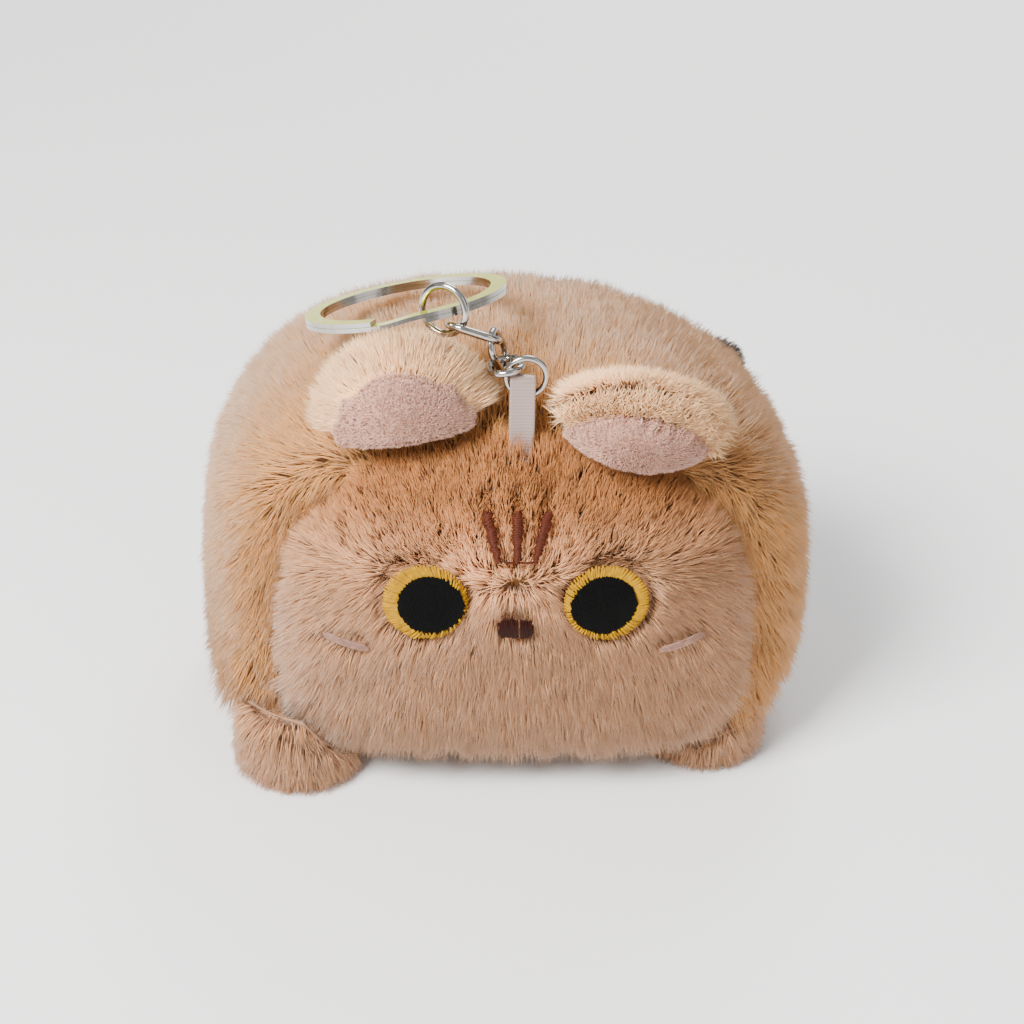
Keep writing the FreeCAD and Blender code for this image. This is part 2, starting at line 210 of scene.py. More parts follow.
def cad_surface(nodes):
    """A search tree over the surfaces of some CAD nodes."""
    joined = bmesh.new()
    for node in nodes:
        joined.from_mesh(frame["nodes"][node].data)
    tree = BVHTree.FromBMesh(joined)
    joined.free()
    return tree


def wrapped_skin(name, nodes, centre, cuts, inset):
    """A closed skin drawn in round a group of CAD nodes, then set in by the pile's depth."""
    deselect()
    bpy.ops.mesh.primitive_cube_add(size=2.0, location=(0.0, 0.0, 0.0))
    skin = named(name)
    bpy.ops.object.mode_set(mode="EDIT")
    bpy.ops.mesh.select_all(action="SELECT")
    bpy.ops.mesh.subdivide(number_cuts=cuts)
    bpy.ops.object.mode_set(mode="OBJECT")
    tree = cad_surface(nodes)
    low, high = node_box(*nodes)
    half = (high - low) / 2
    reach = half.length * 2.0
    for vertex in skin.data.vertices:
        spread = Vector([math.tan(c * math.pi / 4) for c in vertex.co])
        way = Vector((spread.x * half.x, spread.y * half.y, spread.z * half.z)).normalized()
        hit = tree.ray_cast(centre + way * reach, -way)
        vertex.co = hit[0] if hit[0] is not None else centre + way * min(half)
    skin.data.update()
    relax(skin, 3)
    set_points(skin, points_of(skin) - normals_of(skin) * inset)
    relax(skin, 2)
    return skin


def remesh(piece, cell):
    """One even mesh in place of joined or uneven ones."""
    modifier = piece.modifiers.new("Remesh", "REMESH")
    modifier.mode = "VOXEL"
    modifier.voxel_size = cell
    activate(piece)
    bpy.ops.object.modifier_apply(modifier=modifier.name)


def relax(piece, rounds):
    """Evens out small creases."""
    modifier = piece.modifiers.new("Relax", "SMOOTH")
    modifier.factor = 0.5
    modifier.iterations = rounds
    activate(piece)
    bpy.ops.object.modifier_apply(modifier=modifier.name)


def swell(piece, most, pinned=None):
    """Cloth under pressure from the filling; no point moves further than `most`."""
    before = points_of(piece)
    modifier = piece.modifiers.new("Cloth", "CLOTH")
    cloth = modifier.settings
    cloth.quality = 4
    cloth.mass = 0.05
    cloth.tension_stiffness = 8.0
    cloth.compression_stiffness = 8.0
    cloth.bending_stiffness = 0.05
    cloth.use_pressure = True
    cloth.uniform_pressure_force = FILLING_PRESSURE
    cloth.effector_weights.gravity = 0.0
    if pinned is not None:
        group = piece.vertex_groups.new(name="seams")
        group.add([int(i) for i in np.nonzero(pinned)[0]], 1.0, "REPLACE")
        cloth.vertex_group_mass = group.name
    modifier.point_cache.frame_start = 1
    modifier.point_cache.frame_end = SETTLING_FRAMES
    for number in range(1, SETTLING_FRAMES + 1):
        bpy.context.scene.frame_set(number)
    activate(piece)
    bpy.ops.object.modifier_apply(modifier=modifier.name)
    bpy.context.scene.frame_set(1)
    move = points_of(piece) - before
    size = np.linalg.norm(move, axis=1, keepdims=True)
    move *= np.minimum(1.0, most / np.maximum(size, 1e-9))
    set_points(piece, before + move)
    piece.vertex_groups.clear()
    relax(piece, 1)


def subdivide_smooth(piece):
    modifier = piece.modifiers.new("Subdivision", "SUBSURF")
    modifier.levels = 1
    modifier.render_levels = 1
    activate(piece)
    bpy.ops.object.modifier_apply(modifier=modifier.name)
    piece.data.polygons.foreach_set("use_smooth", [True] * len(piece.data.polygons))
    piece.data.update()


def mesh_piece(name, points, faces):
    """A new smooth object from arrays of points and equal-sided faces."""
    data = bpy.data.meshes.new(name)
    data.vertices.add(len(points))
    data.vertices.foreach_set("co", np.ascontiguousarray(points, dtype=np.float32).ravel())
    sides = faces.shape[1]
    data.loops.add(faces.size)
    data.loops.foreach_set("vertex_index", np.ascontiguousarray(faces, dtype=np.int32).ravel())
    data.polygons.add(len(faces))
    data.polygons.foreach_set("loop_start", np.arange(len(faces), dtype=np.int32) * sides)
    data.polygons.foreach_set("use_smooth", np.full(len(faces), True))
    data.update(calc_edges=True)
    piece = bpy.data.objects.new(name, data)
    bpy.context.scene.collection.objects.link(piece)
    return piece


def template(add, *steps):
    """Points and triangles of one small shape, modelled once and then thrown away."""
    deselect()
    add()
    shape = bpy.context.object
    bpy.ops.object.mode_set(mode="EDIT")
    for step in steps:
        bpy.ops.mesh.select_all(action="SELECT")
        step()
    bpy.ops.mesh.select_all(action="SELECT")
    bpy.ops.mesh.quads_convert_to_tris()
    bpy.ops.object.mode_set(mode="OBJECT")
    points = points_of(shape)
    faces = np.array([list(p.vertices) for p in shape.data.polygons])
    data = shape.data
    bpy.data.objects.remove(shape)
    bpy.data.meshes.remove(data)
    return points, faces


def copies(points, faces, count):
    """Face indices of `count` copies of a template."""
    offsets = (np.arange(count) * len(points))[:, None, None]
    return (faces[None] + offsets).reshape(-1, faces.shape[1])


# --- Materials ------------------------------------------------------------------------------

class Nodes:
    """A short way to write a material's nodes."""

    def __init__(self, name):
        self.material = bpy.data.materials.new(name)
        self.material.use_nodes = True
        self.tree = self.material.node_tree
        self.shader = self.tree.nodes["Principled BSDF"]

    def add(self, kind, **settings):
        node = self.tree.nodes.new(kind)
        for key, value in settings.items():
            setattr(node, key, value)
        return node

    def link(self, source, target):
        self.tree.links.new(source, target)

    def object_space(self):
        return self.add("ShaderNodeTexCoord").outputs["Object"]

    def noise(self, scale, detail=3.0, vector=None, roughness=0.5):
        node = self.add("ShaderNodeTexNoise")
        node.inputs["Scale"].default_value = scale
        node.inputs["Detail"].default_value = detail
        node.inputs["Roughness"].default_value = roughness
        self.link(vector or self.object_space(), node.inputs["Vector"])
        return node.outputs["Fac"]

    def ramp(self, source, stops):
        node = self.add("ShaderNodeValToRGB")
        self.link(source, node.inputs["Fac"])
        elements = node.color_ramp.elements
        while len(elements) < len(stops):
            elements.new(0.5)
        for element, (place, value) in zip(elements, stops):
            element.position = place
            element.color = (*value, 1.0)
        return node.outputs["Color"]

    def colour(self, source, *stops):
        """The surface's colour: a pattern read through a ramp."""
        self.link(self.ramp(source, stops), self.shader.inputs["Base Color"])

    def surface(self, **values):
        """Constants on the shader's own sockets; an underscore stands for a space."""
        for socket, value in values.items():
            self.shader.inputs[socket.replace("_", " ")].default_value = value

    def bump(self, height, strength, distance):
        node = self.add("ShaderNodeBump")
        node.inputs["Strength"].default_value = strength
        node.inputs["Distance"].default_value = distance
        self.link(height, node.inputs["Height"])
        self.link(node.outputs["Normal"], self.shader.inputs["Normal"])


def shade(rgb, factor):
    return tuple(min(1.0, c * factor) for c in rgb)


def backing_material(name, rgb):
    """Knitted backing under the pile, dark and mottled."""
    nodes = Nodes(name)
    nodes.colour(nodes.noise(900.0, 4.0), (0.3, shade(rgb, 0.55)), (0.7, shade(rgb, 0.8)))
    nodes.surface(Roughness=0.95, Sheen_Weight=0.2)
    nodes.bump(nodes.noise(1500.0, 2.0), 0.6, 0.3 * MM)
    return nodes.material


def fur_material(name):
    """Fur: every strand carries its own colour from root to tip."""
    nodes = Nodes(name)
    attribute = nodes.add("ShaderNodeAttribute", attribute_name="fur_colour")
    tone = nodes.ramp(nodes.noise(260.0, 3.0), [(0.3, (0.88, 0.88, 0.88)), (0.7, (1.1, 1.1, 1.1))])
    mix = nodes.add("ShaderNodeMix", data_type="RGBA", blend_type="MULTIPLY")
    mix.inputs["Factor"].default_value = 1.0
    nodes.link(attribute.outputs["Color"], mix.inputs["A"])
    nodes.link(tone, mix.inputs["B"])
    nodes.link(mix.outputs["Result"], nodes.shader.inputs["Base Color"])
    nodes.surface(Roughness=0.72, Specular_IOR_Level=0.3)
    nodes.surface(Sheen_Weight=0.3, Sheen_Roughness=0.4, Sheen_Tint=(1.0, 0.9, 0.8, 1.0))
    return nodes.material


def thread_material(name, rgb, roughness):
    """Rayon embroidery thread with fine twist lines."""
    nodes = Nodes(name)
    nodes.colour(nodes.noise(1400.0, 3.0), (0.3, shade(rgb, 0.72)), (0.7, shade(rgb, 1.2)))
    nodes.surface(Roughness=roughness, Specular_IOR_Level=0.12, Anisotropic=0.5)
    nodes.bump(nodes.noise(4200.0, 2.0), 0.35, 0.05 * MM)
    return nodes.material


def velour_material(name, rgb):
    """Short-napped lining with soft brushed streaks."""
    nodes = Nodes(name)
    mapping = nodes.add("ShaderNodeMapping")
    mapping.inputs["Scale"].default_value = (1.0, 1.0, 0.22)
    nodes.link(nodes.object_space(), mapping.inputs["Vector"])
    streaks = nodes.noise(1100.0, 5.0, mapping.outputs["Vector"], 0.65)
    nodes.colour(streaks, (0.3, shade(rgb, 0.74)), (0.52, rgb), (0.75, shade(rgb, 1.28)))
    nodes.surface(Roughness=0.8, Sheen_Weight=0.6, Sheen_Roughness=0.35)
    nodes.bump(nodes.noise(2300.0, 4.0, mapping.outputs["Vector"]), 0.7, 0.25 * MM)
    return nodes.material


def satin_material(name, rgb):
    """Pale satin: long floats across fine ribs."""
    nodes = Nodes(name)
    wave = nodes.add("ShaderNodeTexWave", wave_type="BANDS", bands_direction="Z")
    wave.inputs["Scale"].default_value = 620.0
    wave.inputs["Distortion"].default_value = 1.6
    wave.inputs["Detail"].default_value = 2.0
    nodes.link(nodes.object_space(), wave.inputs["Vector"])
    nodes.colour(wave.outputs["Fac"], (0.0, shade(rgb, 0.86)), (1.0, shade(rgb, 1.04)))
    nodes.surface(Roughness=0.34, Anisotropic=0.6, Sheen_Weight=0.3)
    nodes.bump(wave.outputs["Fac"], 0.5, 0.05 * MM)
    return nodes.material


def flat_faces(nodes, axis):
    """1 where the surface faces along an axis, 0 on the rounded edges."""
    along = nodes.add("ShaderNodeVectorMath", operation="DOT_PRODUCT")
    along.inputs[1].default_value = axis
    nodes.link(nodes.add("ShaderNodeTexCoord").outputs["Normal"], along.inputs[0])
    either_way = nodes.add("ShaderNodeMath", operation="ABSOLUTE")
    nodes.link(along.outputs["Value"], either_way.inputs[0])
    flat = nodes.add("ShaderNodeMapRange")
    flat.inputs["From Min"].default_value = 0.72
    flat.inputs["From Max"].default_value = 0.9
    nodes.link(either_way.outputs["Value"], flat.inputs["Value"])
    return flat.outputs["Result"]


def nickel_material(name, rgb, flat_rgb=None, flat_axis=None):
    """Bright nickel plating with faint handling marks; flat faces may hold a warmer lacquer."""
    nodes = Nodes(name)
    marks = nodes.noise(700.0, 6.0, None, 0.7)
    base = nodes.ramp(marks, [(0.35, shade(rgb, 0.86)), (0.65, shade(rgb, 1.08))])
    nodes.surface(Metallic=1.0)
    if flat_rgb is not None:
        flat = flat_faces(nodes, flat_axis)
        mix = nodes.add("ShaderNodeMix", data_type="RGBA")
        nodes.link(flat, mix.inputs["Factor"])
        nodes.link(base, mix.inputs["A"])
        mix.inputs["B"].default_value = (*flat_rgb, 1.0)
        base = mix.outputs["Result"]
        lacquer = nodes.ramp(flat, [(0.0, (1.0, 1.0, 1.0)), (1.0, (0.5, 0.5, 0.5))])
        nodes.link(lacquer, nodes.shader.inputs["Metallic"])
    nodes.link(base, nodes.shader.inputs["Base Color"])
    rough = nodes.ramp(marks, [(0.3, (0.08, 0.08, 0.08)), (0.75, (0.2, 0.2, 0.2))])
    nodes.link(rough, nodes.shader.inputs["Roughness"])
    nodes.bump(nodes.noise(2600.0, 3.0), 0.08, 0.02 * MM)
    return nodes.material


def stage_material(name, rgb):
    nodes = Nodes(name)
    nodes.colour(nodes.noise(6.0, 2.0), (0.3, shade(rgb, 0.99)), (0.7, rgb))
    nodes.surface(Roughness=0.85)
    return nodes.material


def dress(piece, material):
    piece.data.materials.clear()
    piece.data.materials.append(material)


# --- Fur ------------------------------------------------------------------------------------

def strand_template():
    """A three-sided hair, one unit long, pointed at both ends and widest at its bend."""
    def add():
        bpy.ops.mesh.primitive_cone_add(vertices=3, radius1=1.0, radius2=0.0, depth=1.0 - STRAND_BEND,
                                        end_fill_type="TRIFAN", location=(0.0, 0.0, (1.0 + STRAND_BEND) / 2))
        bpy.ops.object.transform_apply(location=True)

    points, faces = template(add)
    on_axis = np.hypot(points[:, 0], points[:, 1]) < 0.01
    points[on_axis & (points[:, 2] < 0.9), 2] = 0.0
    return points, faces


def surface_samples(skin, count, rng, weight=None):
    """Random roots over a skin: points and normals, denser where a weight is higher."""
    data = skin.data
    data.calc_loop_triangles()
    corners = np.zeros(len(data.loop_triangles) * 3, dtype=np.int64)
    data.loop_triangles.foreach_get("vertices", corners)
    corners = corners.reshape(-1, 3)
    points = points_of(skin)
    normals = normals_of(skin)
    a, b, c = (points[corners[:, i]] for i in range(3))
    area = np.linalg.norm(np.cross(b - a, c - a), axis=1)
    share = area if weight is None else area * weight((a + b + c) / 3)
    chosen = rng.choice(len(corners), size=count, p=share / share.sum())
    u, v = rng.random(count), rng.random(count)
    over = u + v > 1
    u[over], v[over] = 1 - u[over], 1 - v[over]
    mix = np.stack([1 - u - v, u, v], axis=1)[:, :, None]
    place = (points[corners[chosen]] * mix).sum(axis=1)
    facing = unit((normals[corners[chosen]] * mix).sum(axis=1))
    return place, facing


def across_surface(way, normals):
    """The part of a direction that lies along the surface."""
    return unit(way - normals * (way * normals).sum(axis=1, keepdims=True))


def tuft_partner(points, spacing, rng):
    """For each root, the index of the tuft's leading root near it."""
    leaders = rng.choice(len(points), size=max(1, len(points) // STRANDS_IN_TUFT), replace=False)
    tree = KDTree(len(leaders))
    for number, leader in enumerate(leaders):
        tree.insert(points[leader], number)
    tree.balance()
    wobble = rng.normal(0.0, spacing * 0.25, points.shape)
    return np.array([leaders[tree.find(p)[1]] for p in points + wobble])


STRANDS_IN_TUFT = 30
# Height of the bend in a strand one unit long.
STRAND_BEND = 0.45
# The strand's template, kept once it is made.
STRAND = {}


def grow_fur(name, place, facing, way, lean, pile, width, tone, rng, gather=0.5, mess=0.22):
    """Fur strands as closed tapered hairs. tone is (root colours, tip colours)."""
    if not STRAND:
        STRAND["points"], STRAND["faces"] = strand_template()
    base, faces = STRAND["points"], STRAND["faces"]
    count = len(place)
    way = across_surface(unit(way) + rng.normal(0.0, mess, way.shape), facing)
    lean = (lean + rng.normal(0.0, 0.12, count))[:, None]
    pile = (pile * rng.uniform(0.78, 1.12, count))[:, None]
    rise_low, rise_high = lean * 0.55, np.clip(lean * 1.15, 0.0, 1.45)
    first = facing * np.cos(rise_low) + way * np.sin(rise_low)
    second = facing * np.cos(rise_high) + way * np.sin(rise_high)
    middle = place + first * pile * STRAND_BEND
    tip = middle + second * pile * (1.0 - STRAND_BEND)
    partner = tuft_partner(place, sizes().tuft_spacing, rng)
    pull = gather * rng.uniform(0.5, 1.2, count)[:, None]
    tip = tip + (tip[partner] - tip) * pull
    middle = middle + (middle[partner] - middle) * pull * 0.45
    side = unit(np.cross(second, facing + rng.normal(0.0, 0.3, facing.shape)))
    other = unit(np.cross(side, second))
    half = (width * rng.uniform(0.8, 1.25, count))[:, None]
    points = np.zeros((count, len(base), 3))
    for i, (x, y, z) in enumerate(base):
        if z < STRAND_BEND / 2:
            spine = place
        elif z < (1.0 + STRAND_BEND) / 2:
            spine = middle
        else:
            spine = tip
        points[:, i] = spine + (side * x + other * y) * half
    piece = mesh_piece(name, points.reshape(-1, 3), copies(base, faces, count))
    paint_strands(piece, base[:, 2], count, *tone)
    map_strands(piece, base, faces, count)
    return piece


def paint_strands(piece, heights, count, root, tip):
    """Each strand's colour, from root to tip, as an attribute."""
    share = np.clip(heights, 0.0, 1.0)[None, :, None]
    rgb = root[:, None, :] * (1 - share) + tip[:, None, :] * share
    rgba = np.ones((count, len(heights), 4), dtype=np.float32)
    rgba[:, :, :3] = np.clip(rgb, 0.0, 1.0)
    attribute = piece.data.attributes.new("fur_colour", "FLOAT_COLOR", "POINT")
    attribute.data.foreach_set("color", rgba.ravel())


def map_strands(piece, base, faces, count):
    """One small cell of the map for each strand, running from root to tip."""
    layer = piece.data.uv_layers.new(name="OFBake")
    columns = int(math.ceil(math.sqrt(count)))
    number = np.arange(count)
    cell = 1.0 / columns
    low = np.stack([number % columns, number // columns], axis=1) * cell
    around = np.arctan2(base[:, 1], base[:, 0]) / (2 * math.pi) + 0.5
    local = np.stack([0.15 + 0.7 * around, 0.12 + 0.76 * base[:, 2]], axis=1) * cell
    corner = local[faces.ravel()][None] + low[:, None]
    layer.data.foreach_set("uv", corner.astype(np.float32).ravel())


# --- Body -----------------------------------------------------------------------------------

def near_seam(points, width):
    """1 on a seam of the body's panels, falling to 0 at `width` from it and over the crown."""
    gap = np.minimum(np.abs(points[:, 1] - FACE_SEAM_Y), np.abs(points[:, 1] - REAR_SEAM_Y))
    return (1.0 - smooth_step(gap, 0.0, width)) * (1.0 - smooth_step(points[:, 2], 47 * MM, 55 * MM))


def under_stitches(points, margin):
    """True where the face is embroidered, out to a margin round each motif."""
    x, z = points[:, 0], points[:, 2]
    front = points[:, 1] < BODY_CENTRE.y
    covered = np.zeros(len(points), dtype=bool)
    for side in ("left", "right"):
        low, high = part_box(side + "_eye_ring")
        centre = (low + high) / 2
        radius = (high.x - low.x) / 2 + margin
        covered |= (x - centre.x) ** 2 + (z - centre.z) ** 2 < radius ** 2
    for centre, half_width, half_height, lean in bar_motifs():
        c, s = math.cos(lean), math.sin(lean)
        u = (x - centre.x) * c - (z - centre.z) * s
        v = (x - centre.x) * s + (z - centre.z) * c
        covered |= (np.abs(u) < half_width + margin) & (np.abs(v) < half_height + margin)
    return covered & front


def bar_motifs():
    """Centre, half sizes and lean of each straight embroidered motif."""
    motifs = []
    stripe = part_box("middle_brow_stripe")
    half = ((stripe[1].x - stripe[0].x) / 2, (stripe[1].z - stripe[0].z) / 2)
    for node, lean in (("left_brow_stripe", -1), ("middle_brow_stripe", 0), ("right_brow_stripe", 1)):
        motifs.append((node_centre(node), *half, lean * BROW_LEAN))
    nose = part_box("nose")
    motifs.append((node_centre("nose"), (nose[1].x - nose[0].x) / 2, (nose[1].z - nose[0].z) / 2, 0.0))
    for node, lean in (("left_whisker", WHISKER_LEAN), ("right_whisker", -WHISKER_LEAN)):
        low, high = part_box(node)
        half_width = (high.x - low.x) / 2 / math.cos(lean)
        motifs.append((node_centre(node), half_width * 0.95, 0.6 * MM, lean))
    return motifs


BROW_LEAN = math.radians(14.0)
WHISKER_LEAN = math.radians(15.0)


def mixed(first, second, share):
    return first * (1.0 - share[:, None]) + second * share[:, None]


def vector_field(x, y, z):
    return np.stack(np.broadcast_arrays(*np.atleast_1d(x, y, z)), axis=1).astype(float)


def face_flow(place):
    """Forehead fur stands up, cheek fur lies outwards and down, chin fur hangs."""
    x = place[:, 0] - FACE_X
    z = place[:, 2]
    outward = np.clip(x / (30.0 * MM), -1.0, 1.0)
    up = vector_field(outward * 0.35, 0.0, 1.0)
    cheek = vector_field(outward * 1.5, 0.0, -0.75)
    chin = vector_field(outward * 0.35, 0.0, -1.0)
    low = mixed(chin, cheek, smooth_step(z, NOSE_Z - 9 * MM, NOSE_Z + 4 * MM))
    inner = mixed(low, up, smooth_step(z, EYE_Z - 3 * MM, EYE_Z + 9 * MM))
    edge = vector_field(np.sign(x), 0.0, -0.35)
    return mixed(inner, edge, smooth_step(np.abs(x), 26 * MM, 36 * MM) * smooth_step(-z, -54 * MM, -44 * MM))


def wrap_flow(place, facing):
    """Crown fur is brushed back and outwards, side fur hangs, rear fur hangs."""
    x = (place[:, 0] - BODY_CENTRE.x) / (40 * MM)
    crown = vector_field(x * 0.7, 1.0, 0.0)
    side = vector_field(np.sign(x) * 0.2, 0.12, -1.0)
    under = vector_field(0.0, 1.0, 0.0)
    flow = mixed(side, crown, smooth_step(facing[:, 2], 0.25, 0.75))
    return mixed(flow, under, smooth_step(-facing[:, 2], 0.5, 0.9))


def body_flow(place, facing):
    on_face = (place[:, 1] < FACE_SEAM_Y).astype(float)
    return mixed(wrap_flow(place, facing), face_flow(place), on_face)


def body_colour(place, facing):
    """Forehead is tawny, cheeks and chin lighter, the back paler still; painted shade darkens the face's fur
    towards the floor.
    """
    tint = colours()
    up = smooth_step(place[:, 2], EYE_Z + 2 * MM, EYE_Z + 14 * MM)
    face = mixed(np.array(tint.cheek)[None], np.array(tint.forehead)[None], up)
    # Painted shade: the face's fur is darkened to four fifths below 11 mm, fading out by 20 mm.
    face = face * (0.8 + 0.2 * smooth_step(place[:, 2], 11 * MM, 20 * MM))[:, None]
    on_face = smooth_step(-place[:, 1], -FACE_SEAM_Y - 0.5 * MM, -FACE_SEAM_Y + 1.5 * MM)
    return mixed(np.array(tint.crown)[None] + np.zeros_like(place), face, on_face)


def strand_tone(colour_field, rng, dark=0.66, light=1.12):
    """Root and tip colours with a little change from strand to strand."""
    count = len(colour_field)
    change = rng.normal(1.0, 0.09, (count, 1))
    warmth = rng.normal(0.0, 0.03, (count, 1)) * np.array([[1.0, 0.0, -1.0]])
    base = np.clip(colour_field * (change + warmth), 0.0, 1.0)
    return base * dark, np.clip(base * light, 0.0, 1.0)


def nearest_gap(tree, points):
    return np.array([(tree.find_nearest(Vector(p))[3] or 1.0) for p in points])


def pile_near(place, facing, pile, nodes, reach, least):
    """Shorter pile where a hair would run into other pieces."""
    gap = nearest_gap(cad_surface(nodes), place + facing * pile[:, None] * 0.6)
    return pile * (least + (1.0 - least) * smooth_step(gap, 0.0, reach))


def in_parts(count, most=32000):
    parts = max(1, math.ceil(count / most))
    return [count // parts] * parts


PLACES = {
    "face": lambda p: p[:, 1] < FACE_SEAM_Y + 0.2 * MM,
    "wrap": lambda p: (p[:, 1] >= FACE_SEAM_Y) & (p[:, 1] < REAR_SEAM_Y) & (p[:, 2] > BODY_LOW.z + 6 * MM),
    "rear": lambda p: p[:, 1] >= REAR_SEAM_Y,
    "belly": lambda p: (p[:, 1] >= FACE_SEAM_Y) & (p[:, 1] < REAR_SEAM_Y) & (p[:, 2] <= BODY_LOW.z + 6 * MM),
}


# Share of the strands that grows on each area of the body.
FUR_SHARE = {"face": 0.24, "wrap": 0.42, "rear": 0.10, "belly": 0.06}
SKIN_CUTS = 35


def build_body():
    size = sizes()
    skin = wrapped_skin("plush_skin", PANELS, BODY_CENTRE, SKIN_CUTS, size.backing_depth)
    pinned = near_seam(points_of(skin), 1.5 * MM) > 0.2
    swell(skin, 1.0 * MM, pinned)
    subdivide_smooth(skin)
    points = points_of(skin)
    drawn_in = near_seam(points, 4.5 * MM)[:, None] ** 2
    set_points(skin, points - normals_of(skin) * drawn_in * size.seam_depth)
    dress(skin, backing_material("Knitted backing", colours().crown))
    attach(skin, "plush")
    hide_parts("stuffing", *PANELS)


def body_pile(place, facing, way, on_face):
    """Length of each strand: shorter in the seams, beside the metal and ears, and at the stitching."""
    size = sizes()
    pile = np.full(len(place), size.face_pile if on_face else size.body_pile)
    if on_face:
        pile *= 1.0 - 0.22 * smooth_step(place[:, 2], EYE_Z + 6 * MM, EYE_Z + 14 * MM)
        pile *= 1.0 + 0.12 * smooth_step(-place[:, 2], -NOSE_Z + 2 * MM, -NOSE_Z + 12 * MM)
    pile *= 1.0 - 0.62 * near_seam(place, 2.0 * MM)
    pile *= hanging_pile(place, facing)
    pile = pile_near(place, facing, pile, METAL + ("split_ring",), 1.6 * MM, 0.5)
    pile = pile_near(place, facing, pile, ("left_ear_back", "right_ear_back"), 1.5 * MM, 0.5)
    pile *= 1.0 + 0.6 * beside_ribbon(place)
    return pressed_by_stitches(place, facing, unit(way), pile) if on_face else pile


def body_tone(place, facing, rng):
    """Root and tip colours: painted shade darker in the seams, and painted light that lifts the colour and
    the roots where the pile parts between the eyes.
    """
    # Painted shade: strands are darker along the seams.
    shadow = 1.0 - 0.3 * near_seam(place, 1.8 * MM)[:, None]
    # Painted light: colour and roots lifted where the pile parts between the eyes.
    parting_light = on_bridge(place)[:, None]
    tint = body_colour(place, facing) * shadow * (1.0 + 0.2 * parting_light)
    return strand_tone(tint, rng, 0.66 + 0.3 * parting_light)


def build_body_fur():
    size = sizes()
    skin = bpy.data.objects["plush_skin"]
    rng = np.random.default_rng(11)
    material = fur_material("Plush fur")
    for region, inside in PLACES.items():
        for number, count in enumerate(in_parts(int(size.strands * FUR_SHARE[region])), 1):
            place, facing = surface_samples(skin, count, rng, lambda c: inside(c) + SELDOM)
            way = body_flow(place, facing)
            pile = body_pile(place, facing, way, region == "face")
            lean = body_lean(place) * (1.0 - 0.55 * beside_ribbon(place))
            tone = body_tone(place, facing, rng)
            fur = grow_fur(f"fur_{region}_{number}", place, facing, way, lean, pile, size.strand_width,
                           tone, rng)
            lift_off_floor(fur, FLOOR_GAP)
            finish_fur(fur, material, "plush")


def pressed_by_stitches(place, facing, way, pile):
    """Pile held down under the embroidery, and kept from falling across it."""
    tip = place + (facing * 0.55 + way * 0.65) * pile[:, None]
    middle = place + (facing * 0.4 + way * 0.3) * pile[:, None]
    held = under_stitches(place, 0.2 * MM) | under_stitches(middle, 0.2 * MM)
    across = under_stitches(tip, 0.1 * MM)
    return pile * np.where(held, 0.48, np.where(across, 0.62, 1.0))


def on_bridge(place):
    """1 between the eyes, where the pile parts, and between the brow stripes above; painted light lifts the
    fur's colour there.
    """
    across = 1.0 - smooth_step(np.abs(place[:, 0] - FACE_X), 6 * MM, 11 * MM)
    above_nose = smooth_step(place[:, 2], NOSE_Z, NOSE_Z + 4 * MM)
    below_brow = 1.0 - smooth_step(place[:, 2], EYE_Z + 9 * MM, EYE_Z + 14 * MM)
    return across * (above_nose * below_brow) * (place[:, 1] < FACE_SEAM_Y)


def beside_ribbon(place):
    """1 round the foot of the ribbon, where the pile closes over the seam."""
    gap = np.linalg.norm(place - np.array(RIBBON_ROOT) + np.array((0.0, 2.5 * MM, 3.0 * MM)), axis=1)
    return 1.0 - smooth_step(gap, 3.5 * MM, 7.5 * MM)


def hanging_pile(place, facing):
    """Longer pile low on the body, over the front left foot, on the +X side and on the crown."""
    low = smooth_step(-place[:, 2], -26 * MM, -11 * MM)
    side = np.abs(facing[:, 2]) < 0.75
    right = smooth_step(facing[:, 0], 0.3, 0.9)
    crown = smooth_step(facing[:, 2], 0.5, 0.9)
    face = place[:, 1] < FACE_SEAM_Y
    hang = np.where(face, 0.3, 0.75) * (1.0 - 0.8 * right)
    foot = node_centre("front_left_foot")
    gap = np.hypot(place[:, 0] - foot.x, place[:, 1] - foot.y)
    hang = hang + 0.4 * (1.0 - smooth_step(gap, 9 * MM, 16 * MM)) * ~face
    return (1.0 + hang * low * side) * (1.0 + 0.16 * right + 0.08 * crown)


def body_lean(place):
    """How far the pile lies over: more where it hangs, less just in front of the face's seam."""
    low = smooth_step(-place[:, 2], -24 * MM, -12 * MM)
    rim = smooth_step(place[:, 1], FACE_SEAM_Y - 4 * MM, FACE_SEAM_Y - 1 * MM) * (place[:, 1] < FACE_SEAM_Y)
    return 0.78 + 0.12 * low - 0.25 * rim


def finish_fur(fur, material, body):
    dress(fur, material)
    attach(fur, body)


# --- Pads: feet, ears and tail --------------------------------------------------------------

def pad_from(name, nodes, cell, inset, most):
    """A stuffed pad from CAD nodes: one even mesh, set in by the pile and swollen by its filling."""
    joined = bmesh.new()
    for node in nodes:
        joined.from_mesh(frame["nodes"][node].data)
    data = bpy.data.meshes.new(name)
    joined.to_mesh(data)
    joined.free()
    pad = bpy.data.objects.new(name, data)
    bpy.context.scene.collection.objects.link(pad)
    remesh(pad, cell)
    relax(pad, 4)
    set_points(pad, points_of(pad) - normals_of(pad) * inset)
    relax(pad, 2)
    swell(pad, most)
    subdivide_smooth(pad)
    return pad


def finish_pad(pad, material, body, node):
    dress(pad, material)
    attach(pad, body)
    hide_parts(node)


